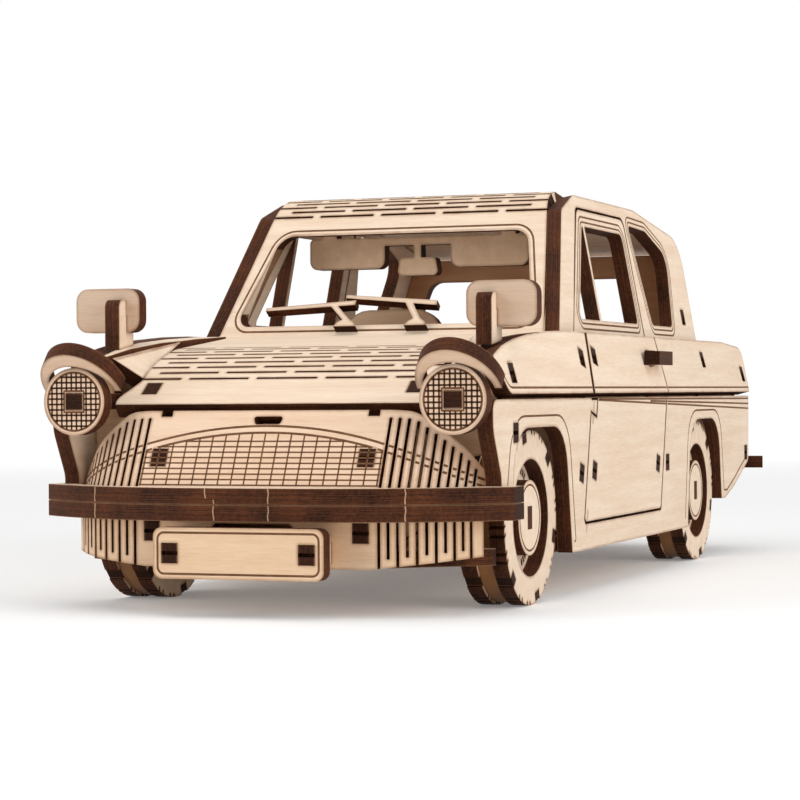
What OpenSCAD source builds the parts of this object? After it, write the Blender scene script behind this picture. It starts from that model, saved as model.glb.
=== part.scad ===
// Laser-cut plywood model of a small two-door saloon car from the 1960s.
// The front faces -Y, +X is the car's left side and Z = 0 is the ground under the tyres.

/* [Overall] */
// Distance between the front and rear axles
wheelbase = 131; // [110:1:160]
// Front axle to the front face of the number plate
front_overhang = 42; // [40:0.5:50]
// Rear axle to the back of the rear bumper
rear_overhang = 51.6; // [50:0.5:62]
// Width over the lower side panels
body_w = 86; // [80:1:104]
// Height of the top of the roof
roof_z = 80.4; // [72:0.5:97]
// Height of the sill's lower edge
sill_z = 8.5; // [7.5:0.5:10]
// Height of the belt line, where the lower and upper side panels part
belt_z = 38.6; // [37:0.2:41]
// Height of the top edge of the upper side panels
waist_z = 51.4; // [50:0.2:54]

/* [Plywood and fits] */
// Thickness of the plywood
ply = 3; // [2.5:0.1:3.6]
// Clearance all round a tab in its slot
fit = 0.1; // [0.05:0.01:0.2]
// Gap between neighbouring fixed panels
seam = 0.3; // [0.2:0.05:0.5]
// Gap round doors, bonnet and boot lid
shut_gap = 0.5; // [0.4:0.05:0.8]
// Glue line between two plates laid together
glue = 0.08; // [0.04:0.01:0.15]
// Width of a living-hinge slit
slit_w = 0.55; // [0.3:0.05:0.6]
// Length of a tab along its panel
tab_len = 3.4; // [2.6:0.1:5]

/* [Wheels] */
// Radius of a wheel
wheel_r = 16.2; // [13:0.1:16.6]
// Depth of a tyre ring, from its tread to its opening
ring_deep = 5.3; // [4:0.1:5.6]
// Depth of the groove for the rubber band
groove = 2.4; // [2:0.1:3]
// Set-back of the rubber band from the tread
band_set = 0.5; // [0.3:0.1:0.8]
// Radius of a hub cap
hub_r = 7; // [5:0.1:7.4]
// Number of pegs that tie the two rings of a wheel
peg_n = 6; // [4:1:8]
// Diameter of the axles
axle_d = 4; // [3:0.1:5]
// Running clearance of an axle in its bearer, on the radius
axle_play = 0.06; // [0.02:0.01:0.1]
// Set-back of the wheels' outer face from the side panels
wheel_inset = 2.2; // [1.5:0.1:5]

/* [Sides] */
// Lean of the upper side panels
upper_lean = 15; // [11:0.5:17]
// Lean of the cabin side frames
cabin_lean = 10.5; // [8:0.5:12]
// Set-in of the cabin side frames at their lower edge
cabin_set = 4.9; // [4.2:0.1:6]
// Slope of the door's front edge, run over rise
door_slope = 0.245; // [0.15:0.01:0.3]
// Front axle to the door's front edge, at the belt line
door_front = 34.6; // [32:0.2:38]
// Length of the door along the belt line
door_len = 60; // [54:0.5:64]
// Height of the door's lower edge
door_z = 14; // [13:0.2:16]
// Front wheel arch, half its width at the sill
arch_front = 20; // [18:0.1:22]
// Rear wheel arch, half its width at the sill
arch_rear = 17.8; // [17:0.1:19]
// Height of the top of the wheel arches
arch_z = 33; // [32.5:0.1:34.5]
// Diameter of a door's hinge pin
pin_d = 1.2; // [1:0.05:1.4]
// Running clearance of a hinge pin, on the radius
pin_play = 0.05; // [0.02:0.01:0.1]

/* [Cabin] */
// Rake of the windscreen from upright
rake = 36; // [30:1:42]
// Front axle to the foot of the windscreen
screen_foot = 28.4; // [26:0.2:31]
// Rear axle back to the rear edge of the roof
roof_rear = 13; // [10:0.5:16]
// Drop of the roof line towards its rear edge
roof_drop = 5; // [3:0.25:7]
// Number of slit rows in the roof's front bend
roof_rows = 7; // [4:1:7]

/* [Front] */
// Lean of the grille panel from upright
grille_lean = 26; // [23:1:28]
// Height at which the grille panel meets the valance
nose_z = 21.4; // [20:0.2:23]
// Front axle forward to the face of the valance
valance_reach = 34.3; // [33:0.1:36]
// Height of the top edge of the grille panel
grille_top = 36.5; // [35.5:0.1:37]
// Set-in of the bent ends of the grille panel and valance
nose_set = 16.4; // [15:0.1:19]
// Number of slits in each bent end of the grille panel and valance
nose_slits = 10; // [5:1:12]
// Turn of the bent ends
nose_turn = 52; // [35:1:60]
// Radius of the headlight discs
lamp_r = 6.2; // [5.5:0.1:6.8]
// Set-in of the headlight centres
lamp_set = 6.2; // [5:0.1:8]
// Height of the headlight centres
lamp_z = 38.3; // [37:0.1:40]
// Forward lean of the brows over the headlights
brow_lean = 50; // [40:1:60]
// Reach of the front bumper past the sides
bumper_over = 2.8; // [1:0.1:4]
// Sweep of the front bumper, from its middle to its ends
bumper_sweep = 15; // [10:0.5:18]
// Height of the top of the front bumper
bumper_z = 23; // [22:0.1:24]
// Width of the number plate
plate_w = 32.6; // [28:0.2:36]
// Height of the number plate
plate_h = 9.1; // [8:0.1:10]

/* [Bonnet and boot] */
// Set-in of the bonnet's edges
bonnet_set = 13.8; // [13:0.1:16]
// Number of slit rows in the bonnet
bonnet_rows = 9; // [6:1:11]
// Pitch of the slit rows
row_pitch = 2.1; // [1.7:0.1:2.4]
// Slope of the bonnet's front lip
lip_slope = 36; // [30:1:40]
// Slope of the bonnet behind the slits
bonnet_slope = 6; // [5:0.5:8]

/* [Hidden] */
$fn = 48;

wood = "#e3c79c";
dark = "#6b4a35";
amber = "#b98a2f";

// The part is centred between the number plate's face and the back of the rear bumper
length = front_overhang + wheelbase + rear_overhang;
yf = front_overhang - length / 2;
yr = yf + wheelbase;

// Flat faces and places that several pieces share
side_x = body_w / 2;
cabin_half = side_x - cabin_set;
nose_flat = side_x - ply - nose_set;
lamp_x = side_x - lamp_set;
stay_z = lamp_z + lamp_r + 0.2;
bumper_half = side_x + bumper_over;
bonnet_half = side_x - bonnet_set;
rim_r = wheel_r - ring_deep;
disc_r = wheel_r - groove;
band_r = wheel_r - band_set;
upper_base_x = side_x + 0.4;
upper_base_z = belt_z + 0.6;
lower_top_z = belt_z - 0.4;
floor_z = min(sill_z + 0.1, wheel_r - axle_d / 2 - ply - seam);
floor_top = floor_z + ply;
wheel_out = side_x - wheel_inset;
wheel_in = wheel_out - 3 * ply;
axle_z = wheel_r;
door_tilt = atan(door_slope);
door_back = door_front + door_len;
cabin_z = waist_z - (upper_x(waist_z) - cabin_half) * tan(upper_lean);

function upper_x(z) = upper_base_x - (z - upper_base_z) * tan(upper_lean);
function upper_in(z) = upper_x(z) - ply / cos(upper_lean);
function cabin_x(z) = cabin_half - (z - cabin_z) * tan(cabin_lean);
function cabin_in(z) = cabin_x(z) - ply / cos(cabin_lean);
function wall(z) = z < belt_z ? side_x - ply : min(side_x - ply, upper_in(z));
function unit(v) = v / norm(v);
function turned(d) = [d.y, -d.x];
function along(p, i) = turned(unit(p[i + 1] - p[i]));
function last(p) = len(p) - 1;
function mitre(p, i) =
    i == 0 ? along(p, 0) :
    i == last(p) ? along(p, i - 1) :
    (along(p, i - 1) + along(p, i)) / (1 + along(p, i - 1) * along(p, i));
// A line moved sideways by d, to its right
function moved(p, d) = [for (i = [0:last(p)]) p[i] + d * mitre(p, i)];
function reversed(p) = [for (i = [last(p):-1:0]) p[i]];
// The outline of a bent sheet between two offsets of one line
function sheet(p, a, b) = concat(moved(p, a), reversed(moved(p, b)));
// An outline whose corners, each [x, y, radius], are rounded
function rounded(p, n = 6) = [
    for (i = [0:last(p)])
        let (m = len(p), b = [p[i].x, p[i].y], q = p[(i + m - 1) % m], s = p[(i + 1) % m],
            u = unit([q.x, q.y] - b), v = unit([s.x, s.y] - b), half = acos(u * v) / 2,
            r = p[i].z, c = b + unit(u + v) * r / sin(half),
            a0 = atan2(b.y + u.y * r / tan(half) - c.y, b.x + u.x * r / tan(half) - c.x),
            a1 = atan2(b.y + v.y * r / tan(half) - c.y, b.x + v.x * r / tan(half) - c.x),
            turn = (a1 - a0 + 540) % 360 - 180)
        each r == 0 ? [b] : [for (k = [0:n]) c + r * [cos(a0 + turn * k / n), sin(a0 + turn * k / n)]]];

module side(s) {
    mirror([s < 0 ? 1 : 0, 0, 0]) children();
}
module both() {
    for (s = [1, -1]) side(s) children();
}
// A drawing in Y and Z, made a sheet whose outer face is at x
module plate_x(x, t = ply) {
    translate([x - t, 0, 0]) rotate([90, 0, 90]) linear_extrude(t) children();
}
// A drawing in X and Z, made a sheet whose front face is at y
module plate_y(y, t = ply) {
    translate([0, y + t, 0]) rotate([90, 0, 0]) linear_extrude(t) children();
}
module plate_z(z, t = ply) {
    translate([0, 0, z]) linear_extrude(t) children();
}
// A sheet bent along Y, drawn by its outer line and as wide as half_w each way
module bent(p, half_w, a = 0, b = ply) {
    rotate([90, 0, 90]) translate([0, 0, -half_w]) linear_extrude(2 * half_w) polygon(sheet(p, a, b));
}
// The leaning planes of the upper side panels and the cabin frames
module upper_plane() {
    translate([upper_base_x, 0, upper_base_z]) rotate([0, -upper_lean, 0]) children();
}
module cabin_plane() {
    translate([cabin_half, 0, cabin_z]) rotate([0, -cabin_lean, 0]) children();
}
function upper_s(z) = (z - upper_base_z) / cos(upper_lean);
function cabin_s(z) = (z - cabin_z) / cos(cabin_lean);
// Outlines given as [y, z, radius], laid in the two planes
function on_upper(p) = [for (q = p) [q.x, upper_s(q.y), q.z]];
function on_cabin(p) = [for (q = p) [q.x, cabin_s(q.y), q.z]];

// Slanted planes parallel to the door's front edge, through y at height z
module slanted(y, z) {
    translate([0, y, z]) rotate([-door_tilt, 0, 0]) children();
}
function slant(z, z0) = (z - z0) / cos(door_tilt);
function slanted_points(p, z0) = [for (q = p) [q.x, slant(q.y, z0)]];

// Tabs of a cross-wall on the left side, and the slots that take them, by their middle [y, z].
// A tab that ends in an upper side panel stops at that panel's outer face.
// A tab is pressed a little thinner than its sheet, and a nick in its end lets it spring.
tab_ease = 0.02;
nick_w = 0.7;
nick_deep = 1.6;
module tab(y, z, x_in, x_out, play = 0, tilt = 0) {
    translate([x_in, y, z]) rotate([-tilt, 0, 0]) difference() {
        ease = play == 0 ? -tab_ease : play;
        translate([0, -ply / 2 - ease, -tab_len / 2 - play])
            cube([x_out - x_in, ply + 2 * ease, tab_len + 2 * play]);
        if (play == 0) translate([x_out - x_in - nick_deep, -ply, -nick_w / 2]) cube([2 * nick_deep, 2 * ply, nick_w]);
    }
}
module lower_tab(y, z, play = 0, tilt = 0) {
    tab(y, z, side_x - ply - 1, side_x + (play > 0 ? 1 : 0), play, tilt);
}
module upper_tab(y, z, play = 0, tilt = 0) {
    tab(y, z, upper_in(z) - 1.5, upper_x(z) + (play > 0 ? 2 : -0.35), play, tilt);
}

// Places of the cross-walls' tabs: distances from an axle and heights
front_wall_y = yf - 15.7;
front_wall_tabs = [belt_z - 6.4, stay_z - glue - tab_len / 2];
firewall_z0 = belt_z - 15;
firewall_y = yf + door_front - (belt_z - firewall_z0) * door_slope - 4.2;
firewall_tabs = [firewall_z0, belt_z + 7.6];
stile_z0 = belt_z - 14.8;
stile_front_y = yf + door_front - (belt_z - stile_z0) * door_slope + 5;
stile_rear_y = yf + door_back - (belt_z - stile_z0) * door_slope - 4.4;
stile_tabs = [stile_z0, belt_z + 8];
seat_wall_y = stile_rear_y + 8.4;
seat_wall_tab = stile_z0;
rear_wall_y = yr + 4.8;
rear_wall_tab = belt_z + 8.2;
tail_y = yr + 44;
tail_tabs = [belt_z - 14.6, belt_z + 5];
function firewall_at(z) = firewall_y + (z - firewall_z0) * door_slope;
function stile_at(y, z) = y + (z - stile_z0) * door_slope;

// Hinge line of a door, parallel to its front edge. Its two pins lie inside the thickness of the panels:
// the lower one stands in the sill, and a tongue of the side panel over the door's corner holds the upper one.
hinge_x = side_x - 1;
hinge_back = 1.5;
hinge_y0 = yf + door_front - (belt_z - door_z) * door_slope + hinge_back / cos(door_tilt);
pin_len = 4.4;
tongue_reach = 2.2;
tongue_drop = 0.4;
tongue_z = lower_top_z - 2.9;
function hinge_at(z) = hinge_y0 + (z - door_z) * door_slope;
module door_pin(z, play = 0) {
    translate([hinge_x, hinge_at(z), z]) rotate([-door_tilt, 0, 0])
        translate([0, 0, -pin_len / 2 - play]) cylinder(d = pin_d + 2 * play, h = pin_len + 2 * play);
}
// The tongue in [y, z], and the notch that clears it in the door
module tongue(room = 0) {
    intersection() {
        translate([hinge_at(tongue_z), tongue_z]) rotate(-door_tilt)
            translate([-hinge_back - 3, -room]) square([hinge_back + 3 + tongue_reach + room, 10]);
        translate([-length, 0]) square([2 * length, lower_top_z - tongue_drop + 3 * room]);
    }
}

// Rods on which the bonnet and the boot lid turn
rod_d = 2;
rod_play = 0.05;
rod_sink = 1.2;
bonnet_rod = [yf + 19, 48.8 - ply];
boot_rod = [yr + 14.6, 45.4];
module rod(p, play = 0) {
    half = upper_in(p.y) + rod_sink + play;
    translate([-half, p.x, p.y]) rotate([0, 90, 0]) cylinder(d = rod_d + 2 * play, h = 2 * half);
}

// Lines of the bent panels in [y, z], seen from the left
lip_y = yf - 25.4;
lip_z = 37.7;
lip_len = 8;
lip_flare = 4.4;
bonnet_rear = yf + 19;
function bonnet_angle(i) = lip_slope + (bonnet_slope - lip_slope) * i / bonnet_rows;
function step(a, l) = l * [cos(a), sin(a)];
function bonnet_bend(i) = i == 0 ? [lip_y, lip_z] + step(lip_slope, lip_len)
    : bonnet_bend(i - 1) + step(bonnet_angle(i), row_pitch);
bonnet_end = bonnet_bend(bonnet_rows - 1);
bonnet_line = concat([[lip_y, lip_z]], [for (i = [0:bonnet_rows - 1]) bonnet_bend(i)],
    [[bonnet_rear, bonnet_end.y + (bonnet_rear - bonnet_end.x) * tan(bonnet_slope)]]);
bonnet_rear_z = bonnet_line[last(bonnet_line)].y;

cowl_y = bonnet_rear + 3.6;
foot = [yf + screen_foot, waist_z];
roof_pitch = 1.6;
header_z = roof_z - 3.6;
header = foot + [(header_z - foot.y) * tan(rake), header_z - foot.y];
roof_flat = roof_z - 0.2;
function roof_angle(i) = (90 - rake) * (1 - i / roof_rows);
function roof_bend(i) = i == 0 ? header : roof_bend(i - 1) + step(roof_angle(i), roof_pitch);
roof_bends = [for (i = [0:roof_rows - 1]) roof_bend(i)];
roof_rise = roof_flat - roof_bends[roof_rows - 1].y;
roof_start = roof_bends[roof_rows - 1] + [max(6, roof_rise * 8), roof_rise];
roof_line = concat([[cowl_y, waist_z - 1.1], foot], roof_bends,
    [roof_start, [yr - 26, roof_flat], [yr - 4, roof_flat - 0.4 * roof_drop],
    [yr + roof_rear, roof_flat - roof_drop]]);

// Chassis and cross-walls
bearer_x = wheel_in - 6.8;
bearer_half = 6;
bearer_top = axle_z + axle_d / 2 + 3;
floor_front = yf - valance_reach + ply + seam;
floor_rear = yr + 19;
well_half = wheel_r + 1.4;
well_in = wheel_in - 1.6;
module chassis_floor() {
    color(wood) difference() {
        plate_z(floor_z) polygon(rounded([
            [-nose_flat, floor_front, 0], [nose_flat, floor_front, 0],
            [side_x - ply - seam, floor_front + 12, 0], [side_x - ply - seam, floor_rear, 2],
            [-(side_x - ply - seam), floor_rear, 2], [-(side_x - ply - seam), floor_front + 12, 0]]));
        both() for (y = [yf, yr])
            translate([well_in, y - well_half, floor_z - 1]) cube([side_x, 2 * well_half, ply + 2]);
    }
}
module axle_bearers() {
    color(wood) both() for (y = [yf, yr]) difference() {
        plate_x(bearer_x + ply / 2) polygon(rounded([
            [y - bearer_half, floor_top, 0], [y + bearer_half, floor_top, 0],
            [y + bearer_half - 1, bearer_top, 3], [y - bearer_half + 1, bearer_top, 3]]));
        translate([bearer_x - ply, y, axle_z]) rotate([0, 90, 0])
            cylinder(d = axle_d + 2 * axle_play, h = 2 * ply);
    }
}
// A cross-wall's half outline, given on the left, and its mirror image
function mirrored(p) = concat(p, [for (q = reversed(p)) [-q.x, q.y]]);
wall_in = wheel_in - 2.4;
front_wall_top = belt_z - 5.5;
module front_bulkhead() {
    arm = stay_z - glue;
    color(wood) {
        plate_y(front_wall_y - ply / 2) polygon(mirrored([[bearer_x - 6, floor_top], [wall_in, floor_top + 5],
            [wall_in, 26.5], [wall(28), 29], [wall(28), lower_top_z], [wall(belt_z + 1) - fit, belt_z + 1],
            [upper_in(arm) - fit, arm], [lamp_x - 0.6, arm], [lamp_x - 0.6, 40], [lamp_x - 2, front_wall_top + 3],
            [bonnet_half + 2, front_wall_top]]));
        both() lower_tab(front_wall_y, front_wall_tabs[0]);
        both() upper_tab(front_wall_y, front_wall_tabs[1]);
    }
}
firewall_top = bonnet_rod.y + 1;
firewall_ear = firewall_tabs[1] + tab_len / 2 + 0.6;
module firewall() {
    color(wood) {
        slanted(firewall_y, firewall_z0) plate_y(-ply / 2) polygon(slanted_points(mirrored([
            [side_x - ply - fit, floor_top + 0.16 * ply], [side_x - ply - fit, lower_top_z - 0.4],
            [upper_in(firewall_ear) - fit, lower_top_z + 1], [upper_in(firewall_ear) - fit, firewall_ear],
            [upper_in(firewall_ear) - 3, firewall_ear], [upper_in(firewall_ear) - 3.5, firewall_top],
            [bonnet_half + 1, firewall_top]]), firewall_z0));
        both() lower_tab(firewall_at(firewall_tabs[0]), firewall_tabs[0], 0, door_tilt);
        both() upper_tab(firewall_at(firewall_tabs[1]), firewall_tabs[1], 0, door_tilt);
    }
}
seat_wall_top = 35;
module seat_bulkhead() {
    color(wood) {
        plate_y(seat_wall_y - ply / 2) polygon(rounded([
            [side_x - ply - fit, floor_top, 0], [side_x - ply - fit, seat_wall_top, 3],
            [-(side_x - ply - fit), seat_wall_top, 3], [-(side_x - ply - fit), floor_top, 0]]));
        both() lower_tab(seat_wall_y, seat_wall_tab);
    }
}
module rear_bulkhead() {
    top = rear_wall_tab + 2;
    low = bearer_top + fit;
    over = 2 * wheel_r + 1;
    shelf = rear_foot.y - ply - 0.4 - fit;
    color(wood) {
        plate_y(rear_wall_y - ply / 2) polygon(mirrored([[bearer_x - 6, low], [wall_in, low], [wall_in, over],
            [wall(over) - fit, over + 0.6], [wall(over) - fit, lower_top_z], [wall(belt_z + 1) - fit, belt_z + 1],
            [upper_in(top) - fit, top], [cabin_in(top) + seam, top], [cabin_in(top) + seam, shelf], [bonnet_half, shelf]]));
        both() upper_tab(rear_wall_y, rear_wall_tab);
    }
}

// Side panels
arch_corner = 9;
function arch(y, half) = [[y - half, sill_z - 1, 0], [y - 0.78 * half, arch_z, arch_corner],
    [y + 0.78 * half, arch_z, arch_corner], [y + half, sill_z - 1, 0]];
function door_edge(z) = yf + door_front + (z - belt_z) * door_slope;
function door_end(z) = yf + door_back + (z - belt_z) * door_slope;
nose_edge = yf - 24.3;
tail_edge = yr + 47;
tail_low = sill_z + 13.5;
tail_foot = sill_z + 5.1;
nose_low = bumper_z - 1.5 * ply;
module door_shape(grow) {
    polygon(rounded([[door_edge(door_z - grow) - grow / cos(door_tilt), door_z - grow, 1],
        [door_edge(belt_z + 5) - grow / cos(door_tilt), belt_z + 5, 0],
        [door_end(belt_z + 5) + grow / cos(door_tilt), belt_z + 5, 0],
        [door_end(door_z - grow) + grow / cos(door_tilt), door_z - grow, 1]]));
}
module lower_side() {
    color(wood) difference() {
        plate_x(side_x) difference() {
            polygon(rounded([[nose_edge, nose_low, 1], [nose_edge, 24.5, 4], [nose_edge - 4.6, 33, 6],
                [nose_edge - 4.6, lower_top_z, 2], [tail_edge + 0.4, lower_top_z, 0], [tail_edge, tail_low, 2],
                [yr + 31, tail_foot + 2.6, 3], [yr + arch_rear + 3, tail_foot, 2], [yr, tail_foot, 0],
                [yr, sill_z, 0], [yf, sill_z, 0], [yf, nose_low, 0]]));
            polygon(rounded(arch(yf, arch_front)));
            polygon(rounded(arch(yr, arch_rear)));
            difference() {
                door_shape(shut_gap);
                tongue();
            }
        }
        lower_tab(front_wall_y, front_wall_tabs[0], fit);
        lower_tab(firewall_at(firewall_tabs[0]), firewall_tabs[0], fit, door_tilt);
        lower_tab(seat_wall_y, seat_wall_tab, fit);
        lower_tab(tail_y, tail_tabs[0], fit);
        door_pin(door_z);
        door_pin(tongue_z);
    }
}
// Top edge of the upper panels over the front wing, as [distance from the front axle, height]
wing_edge = [[-24.6, 46], [-18, 47.8], [-10, 49.2], [0, 50.2], [12, waist_z - 0.4], [24, waist_z]];
front_gap = shut_gap + 0.4;
function gap_line(z) = door_edge(belt_z) + (z - belt_z) * 0.42;
module upper_front() {
    color(wood) difference() {
        upper_plane() plate_x(0) polygon(rounded(on_upper(concat(
            [[gap_line(upper_base_z) - front_gap, upper_base_z, 0], [yf - 20, upper_base_z, 3],
                [yf - 21.6, 41.5, 2]],
            [for (q = wing_edge) [yf + q.x, q.y, q.x == -24.6 ? 0.6 : 0]],
            [[gap_line(waist_z) - front_gap, waist_z, 0]]))));
        upper_tab(front_wall_y, front_wall_tabs[1], fit);
        upper_tab(firewall_at(firewall_tabs[1]), firewall_tabs[1], fit, door_tilt);
        rod(bonnet_rod, fit);
    }
}
fin_tip = yr + 50.4;
module upper_rear() {
    color(wood) difference() {
        upper_plane() plate_x(0) polygon(rounded(on_upper([
            [yf + door_back + shut_gap, upper_base_z, 0], [yf + door_back + shut_gap, waist_z, 0],
            [yr + 30, waist_z, 0], [fin_tip, waist_z - 1.2, 3], [tail_edge, upper_base_z, 0.6]])));
        upper_tab(rear_wall_y, rear_wall_tab, fit);
        upper_tab(tail_y, tail_tabs[1], fit);
        rod(boot_rod, fit);
    }
}

// Cabin
frame_w = 3.4;
pillar_front = yf + door_front + 4;
window_top = roof_z - 3;
screen_run = (window_top - cabin_z) * tan(rake);
window_rear = yf + door_back;
function door_window(grow) = [[pillar_front - grow / cos(rake), cabin_z - grow, 0],
    [pillar_front + screen_run - grow / cos(rake), window_top + grow, 3],
    [window_rear + grow, window_top + grow, 2.5], [window_rear + grow, cabin_z - grow, 0]];
shelf_tab_z = cabin_z + 6;
module shelf_tab(play = 0) {
    y = rear_screen_y(shelf_tab_z) - ply / 2 - play;
    x = cabin_in(shelf_tab_z) - 1.5;
    translate([x, y, shelf_tab_z - tab_len / 2 - play])
        cube([ply + 1.4 + (play > 0 ? 2 : -0.2), ply + 2 * play, tab_len + 2 * play]);
}
module cabin_side() {
    color(wood) difference() {
        cabin_plane() plate_x(0) difference() {
            polygon(rounded(on_cabin([[yf + screen_foot, cabin_z, 0],
                [header.x - 0.2, header.y, 3], [roof_start.x - 4, roof_z, 5], [yr - 26, roof_z, 30],
                [yr + roof_rear + 0.5, roof_z - roof_drop, 8], [yr + roof_rear - 0.5, cabin_z, 0]])));
            polygon(rounded(on_cabin(door_window(shut_gap))));
            polygon(rounded(on_cabin([[window_rear + 9.5, cabin_z + 3.4, 1.5], [window_rear + 3.6, window_top - 1, 1],
                [yr - 18, window_top - 1.4, 8], [yr - 2, window_top - 0.9 * roof_drop - 2, 4],
                [yr - 8.6, cabin_z + 3.4, 2.5]])));
        }
        shelf_tab(fit);
    }
}
// What lies between the two cabin frames, up to a gap
module between_frames(gap) {
    low = cabin_z - 6;
    high = roof_z + 4;
    rotate([90, 0, 0]) translate([0, 0, -length]) linear_extrude(2 * length)
        polygon([[-cabin_in(low) + gap, low], [cabin_in(low) - gap, low],
            [cabin_in(high) - gap, high], [-cabin_in(high) + gap, high]]);
}
// One row of slits across a bent panel, with its bridges staggered
module slit_row(p, angle, half_w, odd, slit = 12, bridge = 1.7) {
    pitch = slit + bridge;
    n = ceil(half_w / pitch) + 1;
    translate([0, p.x, p.y]) rotate([angle, 0, 0]) for (k = [-n:n])
        let (a = max(k * pitch + (odd ? pitch / 2 : 0) - slit / 2, -half_w - 2 + (odd ? 3.2 : 0)),
            b = min(k * pitch + (odd ? pitch / 2 : 0) + slit / 2, half_w + 2 - (odd ? 3.2 : 0)))
            if (b - a > 1.5) translate([a, -slit_w / 2, -2 * ply]) cube([b - a, slit_w, 3 * ply]);
}
screen_margin = 3;
module windscreen_roof() {
    top = header_z - 4.2;
    color(wood) difference() {
        intersection() {
            bent(roof_line, side_x);
            between_frames(glue);
        }
        plate_y(foot.x - 20, length / 2) polygon(rounded([
            [cabin_in(foot.y) - screen_margin, foot.y + 1.9, 2.2], [cabin_in(top) - screen_margin - 1, top, 3.6],
            [-cabin_in(top) + screen_margin + 1, top, 3.6], [-cabin_in(foot.y) + screen_margin, foot.y + 1.9, 2.2]]));
        for (i = [0:roof_rows - 1])
            slit_row(roof_bends[i], roof_angle(i + 0.5), cabin_in(roof_z), i % 2 == 1);
    }
}
// The rear window leans back towards its top, over a short shelf
rear_foot = [yr + 3.4, cabin_z + 0.6];
rear_top_z = roof_flat - roof_drop - 1.4 * ply;
rear_lean = 0.3;
function rear_screen_y(z) = rear_foot.x - ply / 2 + (z - rear_foot.y) * rear_lean;
rear_line = [[yr + 9, rear_foot.y - 0.4], rear_foot, rear_foot + [(rear_top_z - rear_foot.y) * rear_lean, rear_top_z - rear_foot.y]];
module rear_window_panel() {
    color(wood) {
        difference() {
            intersection() {
                bent(rear_line, side_x, 0, -ply);
                between_frames(glue);
            }
            plate_y(rear_foot.x - 20, 40) polygon(rounded([
                [cabin_in(cabin_z) - 5.4, rear_foot.y + 4, 2.5], [cabin_in(rear_top_z) - 5, rear_top_z - 4.5, 3],
                [-cabin_in(rear_top_z) + 5, rear_top_z - 4.5, 3], [-cabin_in(cabin_z) + 5.4, rear_foot.y + 4, 2.5]]));
        }
        both() shelf_tab();
    }
}

// Tail
lamp_tail = [side_x - 10, belt_z - 7.6];
tail_lamp_r = 4.6;
module rear_panel() {
    horn_z = waist_z - 5;
    color(wood) {
        plate_y(tail_y - ply / 2) polygon(mirrored([[side_x - ply - fit, bumper_rear_z - 1],
            [side_x - ply - fit, lower_top_z], [wall(belt_z + 1) - fit, belt_z + 1],
            [upper_in(horn_z) - fit, horn_z], [boot_half + 0.2 + shut_gap, horn_z],
            [boot_half + 0.2 + shut_gap, belt_z + 0.4], [2, belt_z + 0.4]]));
        both() lower_tab(tail_y, tail_tabs[0]);
        both() upper_tab(tail_y, tail_tabs[1]);
        translate([-20, tail_y + ply / 2 - 0.5, bumper_rear_z + fit]) cube([6, 3.4, ply - 2 * fit]);
        translate([14, tail_y + ply / 2 - 0.5, bumper_rear_z + fit]) cube([6, 3.4, ply - 2 * fit]);
    }
}
module tail_lamps() {
    color(wood) both() translate([lamp_tail.x, tail_y + ply / 2, lamp_tail.y]) rotate([-90, 0, 0])
        cylinder(r = tail_lamp_r, h = ply);
}
bumper_rear_z = 20;
function bow(half, y_mid, sweep, n = 16, curve = 2) =
    [for (i = [-n:n]) [half * i / n, y_mid + sweep * pow(abs(i / n), curve)]];
module rear_bumper() {
    back = length / 2;
    deep = back - tail_y - ply / 2 - 3;
    color(wood) difference() {
        plate_z(bumper_rear_z) polygon(concat(bow(bumper_half + 0.5, back, -3), 
            reversed(bow(bumper_half + 0.5, back - deep, 0))));
        for (x = [-20, 14]) translate([x - fit, back - deep - 2, bumper_rear_z - 1]) cube([6 + 2 * fit, 3, ply + 2]);
    }
    color(wood) both() translate([26, tail_y + ply / 2, bumper_rear_z]) cube([4, 3, ply]);
}

// Nose: the grille panel and the valance are bent round at their ends along vertical slits.
// Their plan line runs from right to left, so that the sheet lies behind it.
nose_seg = 1.7;
function nose_step(i) = nose_turn * i / nose_slits;
function nose_point(i) = i == 0 ? [nose_flat, 0]
    : nose_point(i - 1) + nose_seg * [cos(nose_step(i)), sin(nose_step(i))];
nose_half = concat([for (i = [0:nose_slits]) nose_point(i)],
    [nose_point(nose_slits) + 2.6 * [cos(nose_turn), sin(nose_turn)]]);
nose_line = concat([for (q = reversed(nose_half)) q], [for (q = nose_half) [-q.x, q.y]]);
nose_end = nose_half[last(nose_half)];
valance_y = yf - valance_reach;
module nose_sheet(z0, z1) {
    translate([0, 0, z0]) linear_extrude(z1 - z0) polygon(sheet(nose_line, 0, ply));
}
// Slits through the bent ends, between tables of the sheet's lower and upper edge against x.
// Every second slit is open at its lower end.
slit_end = 1.5;
module nose_slits_cut(low, high) {
    for (i = [0:nose_slits]) let (q = nose_point(i), hi = lookup(q.x, high) - slit_end,
        lo = lookup(q.x, low) + (i % 2 == 1 ? slit_end : -1))
        if (hi - lo > 2 * slit_end) both() translate([q.x, q.y, lo]) rotate([0, 0, nose_step(i + 0.5)])
            translate([-slit_w / 2, -ply, 0]) cube([slit_w, 3 * ply, hi - lo]);
}
function level(z) = [[0, z], [side_x, z]];
grille_len = (grille_top - nose_z) / cos(grille_lean);
module at_grille() {
    translate([0, valance_y, nose_z]) rotate([-grille_lean, 0, 0]) children();
}
grille_tab = [nose_flat - 3.4, 7.4];
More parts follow.
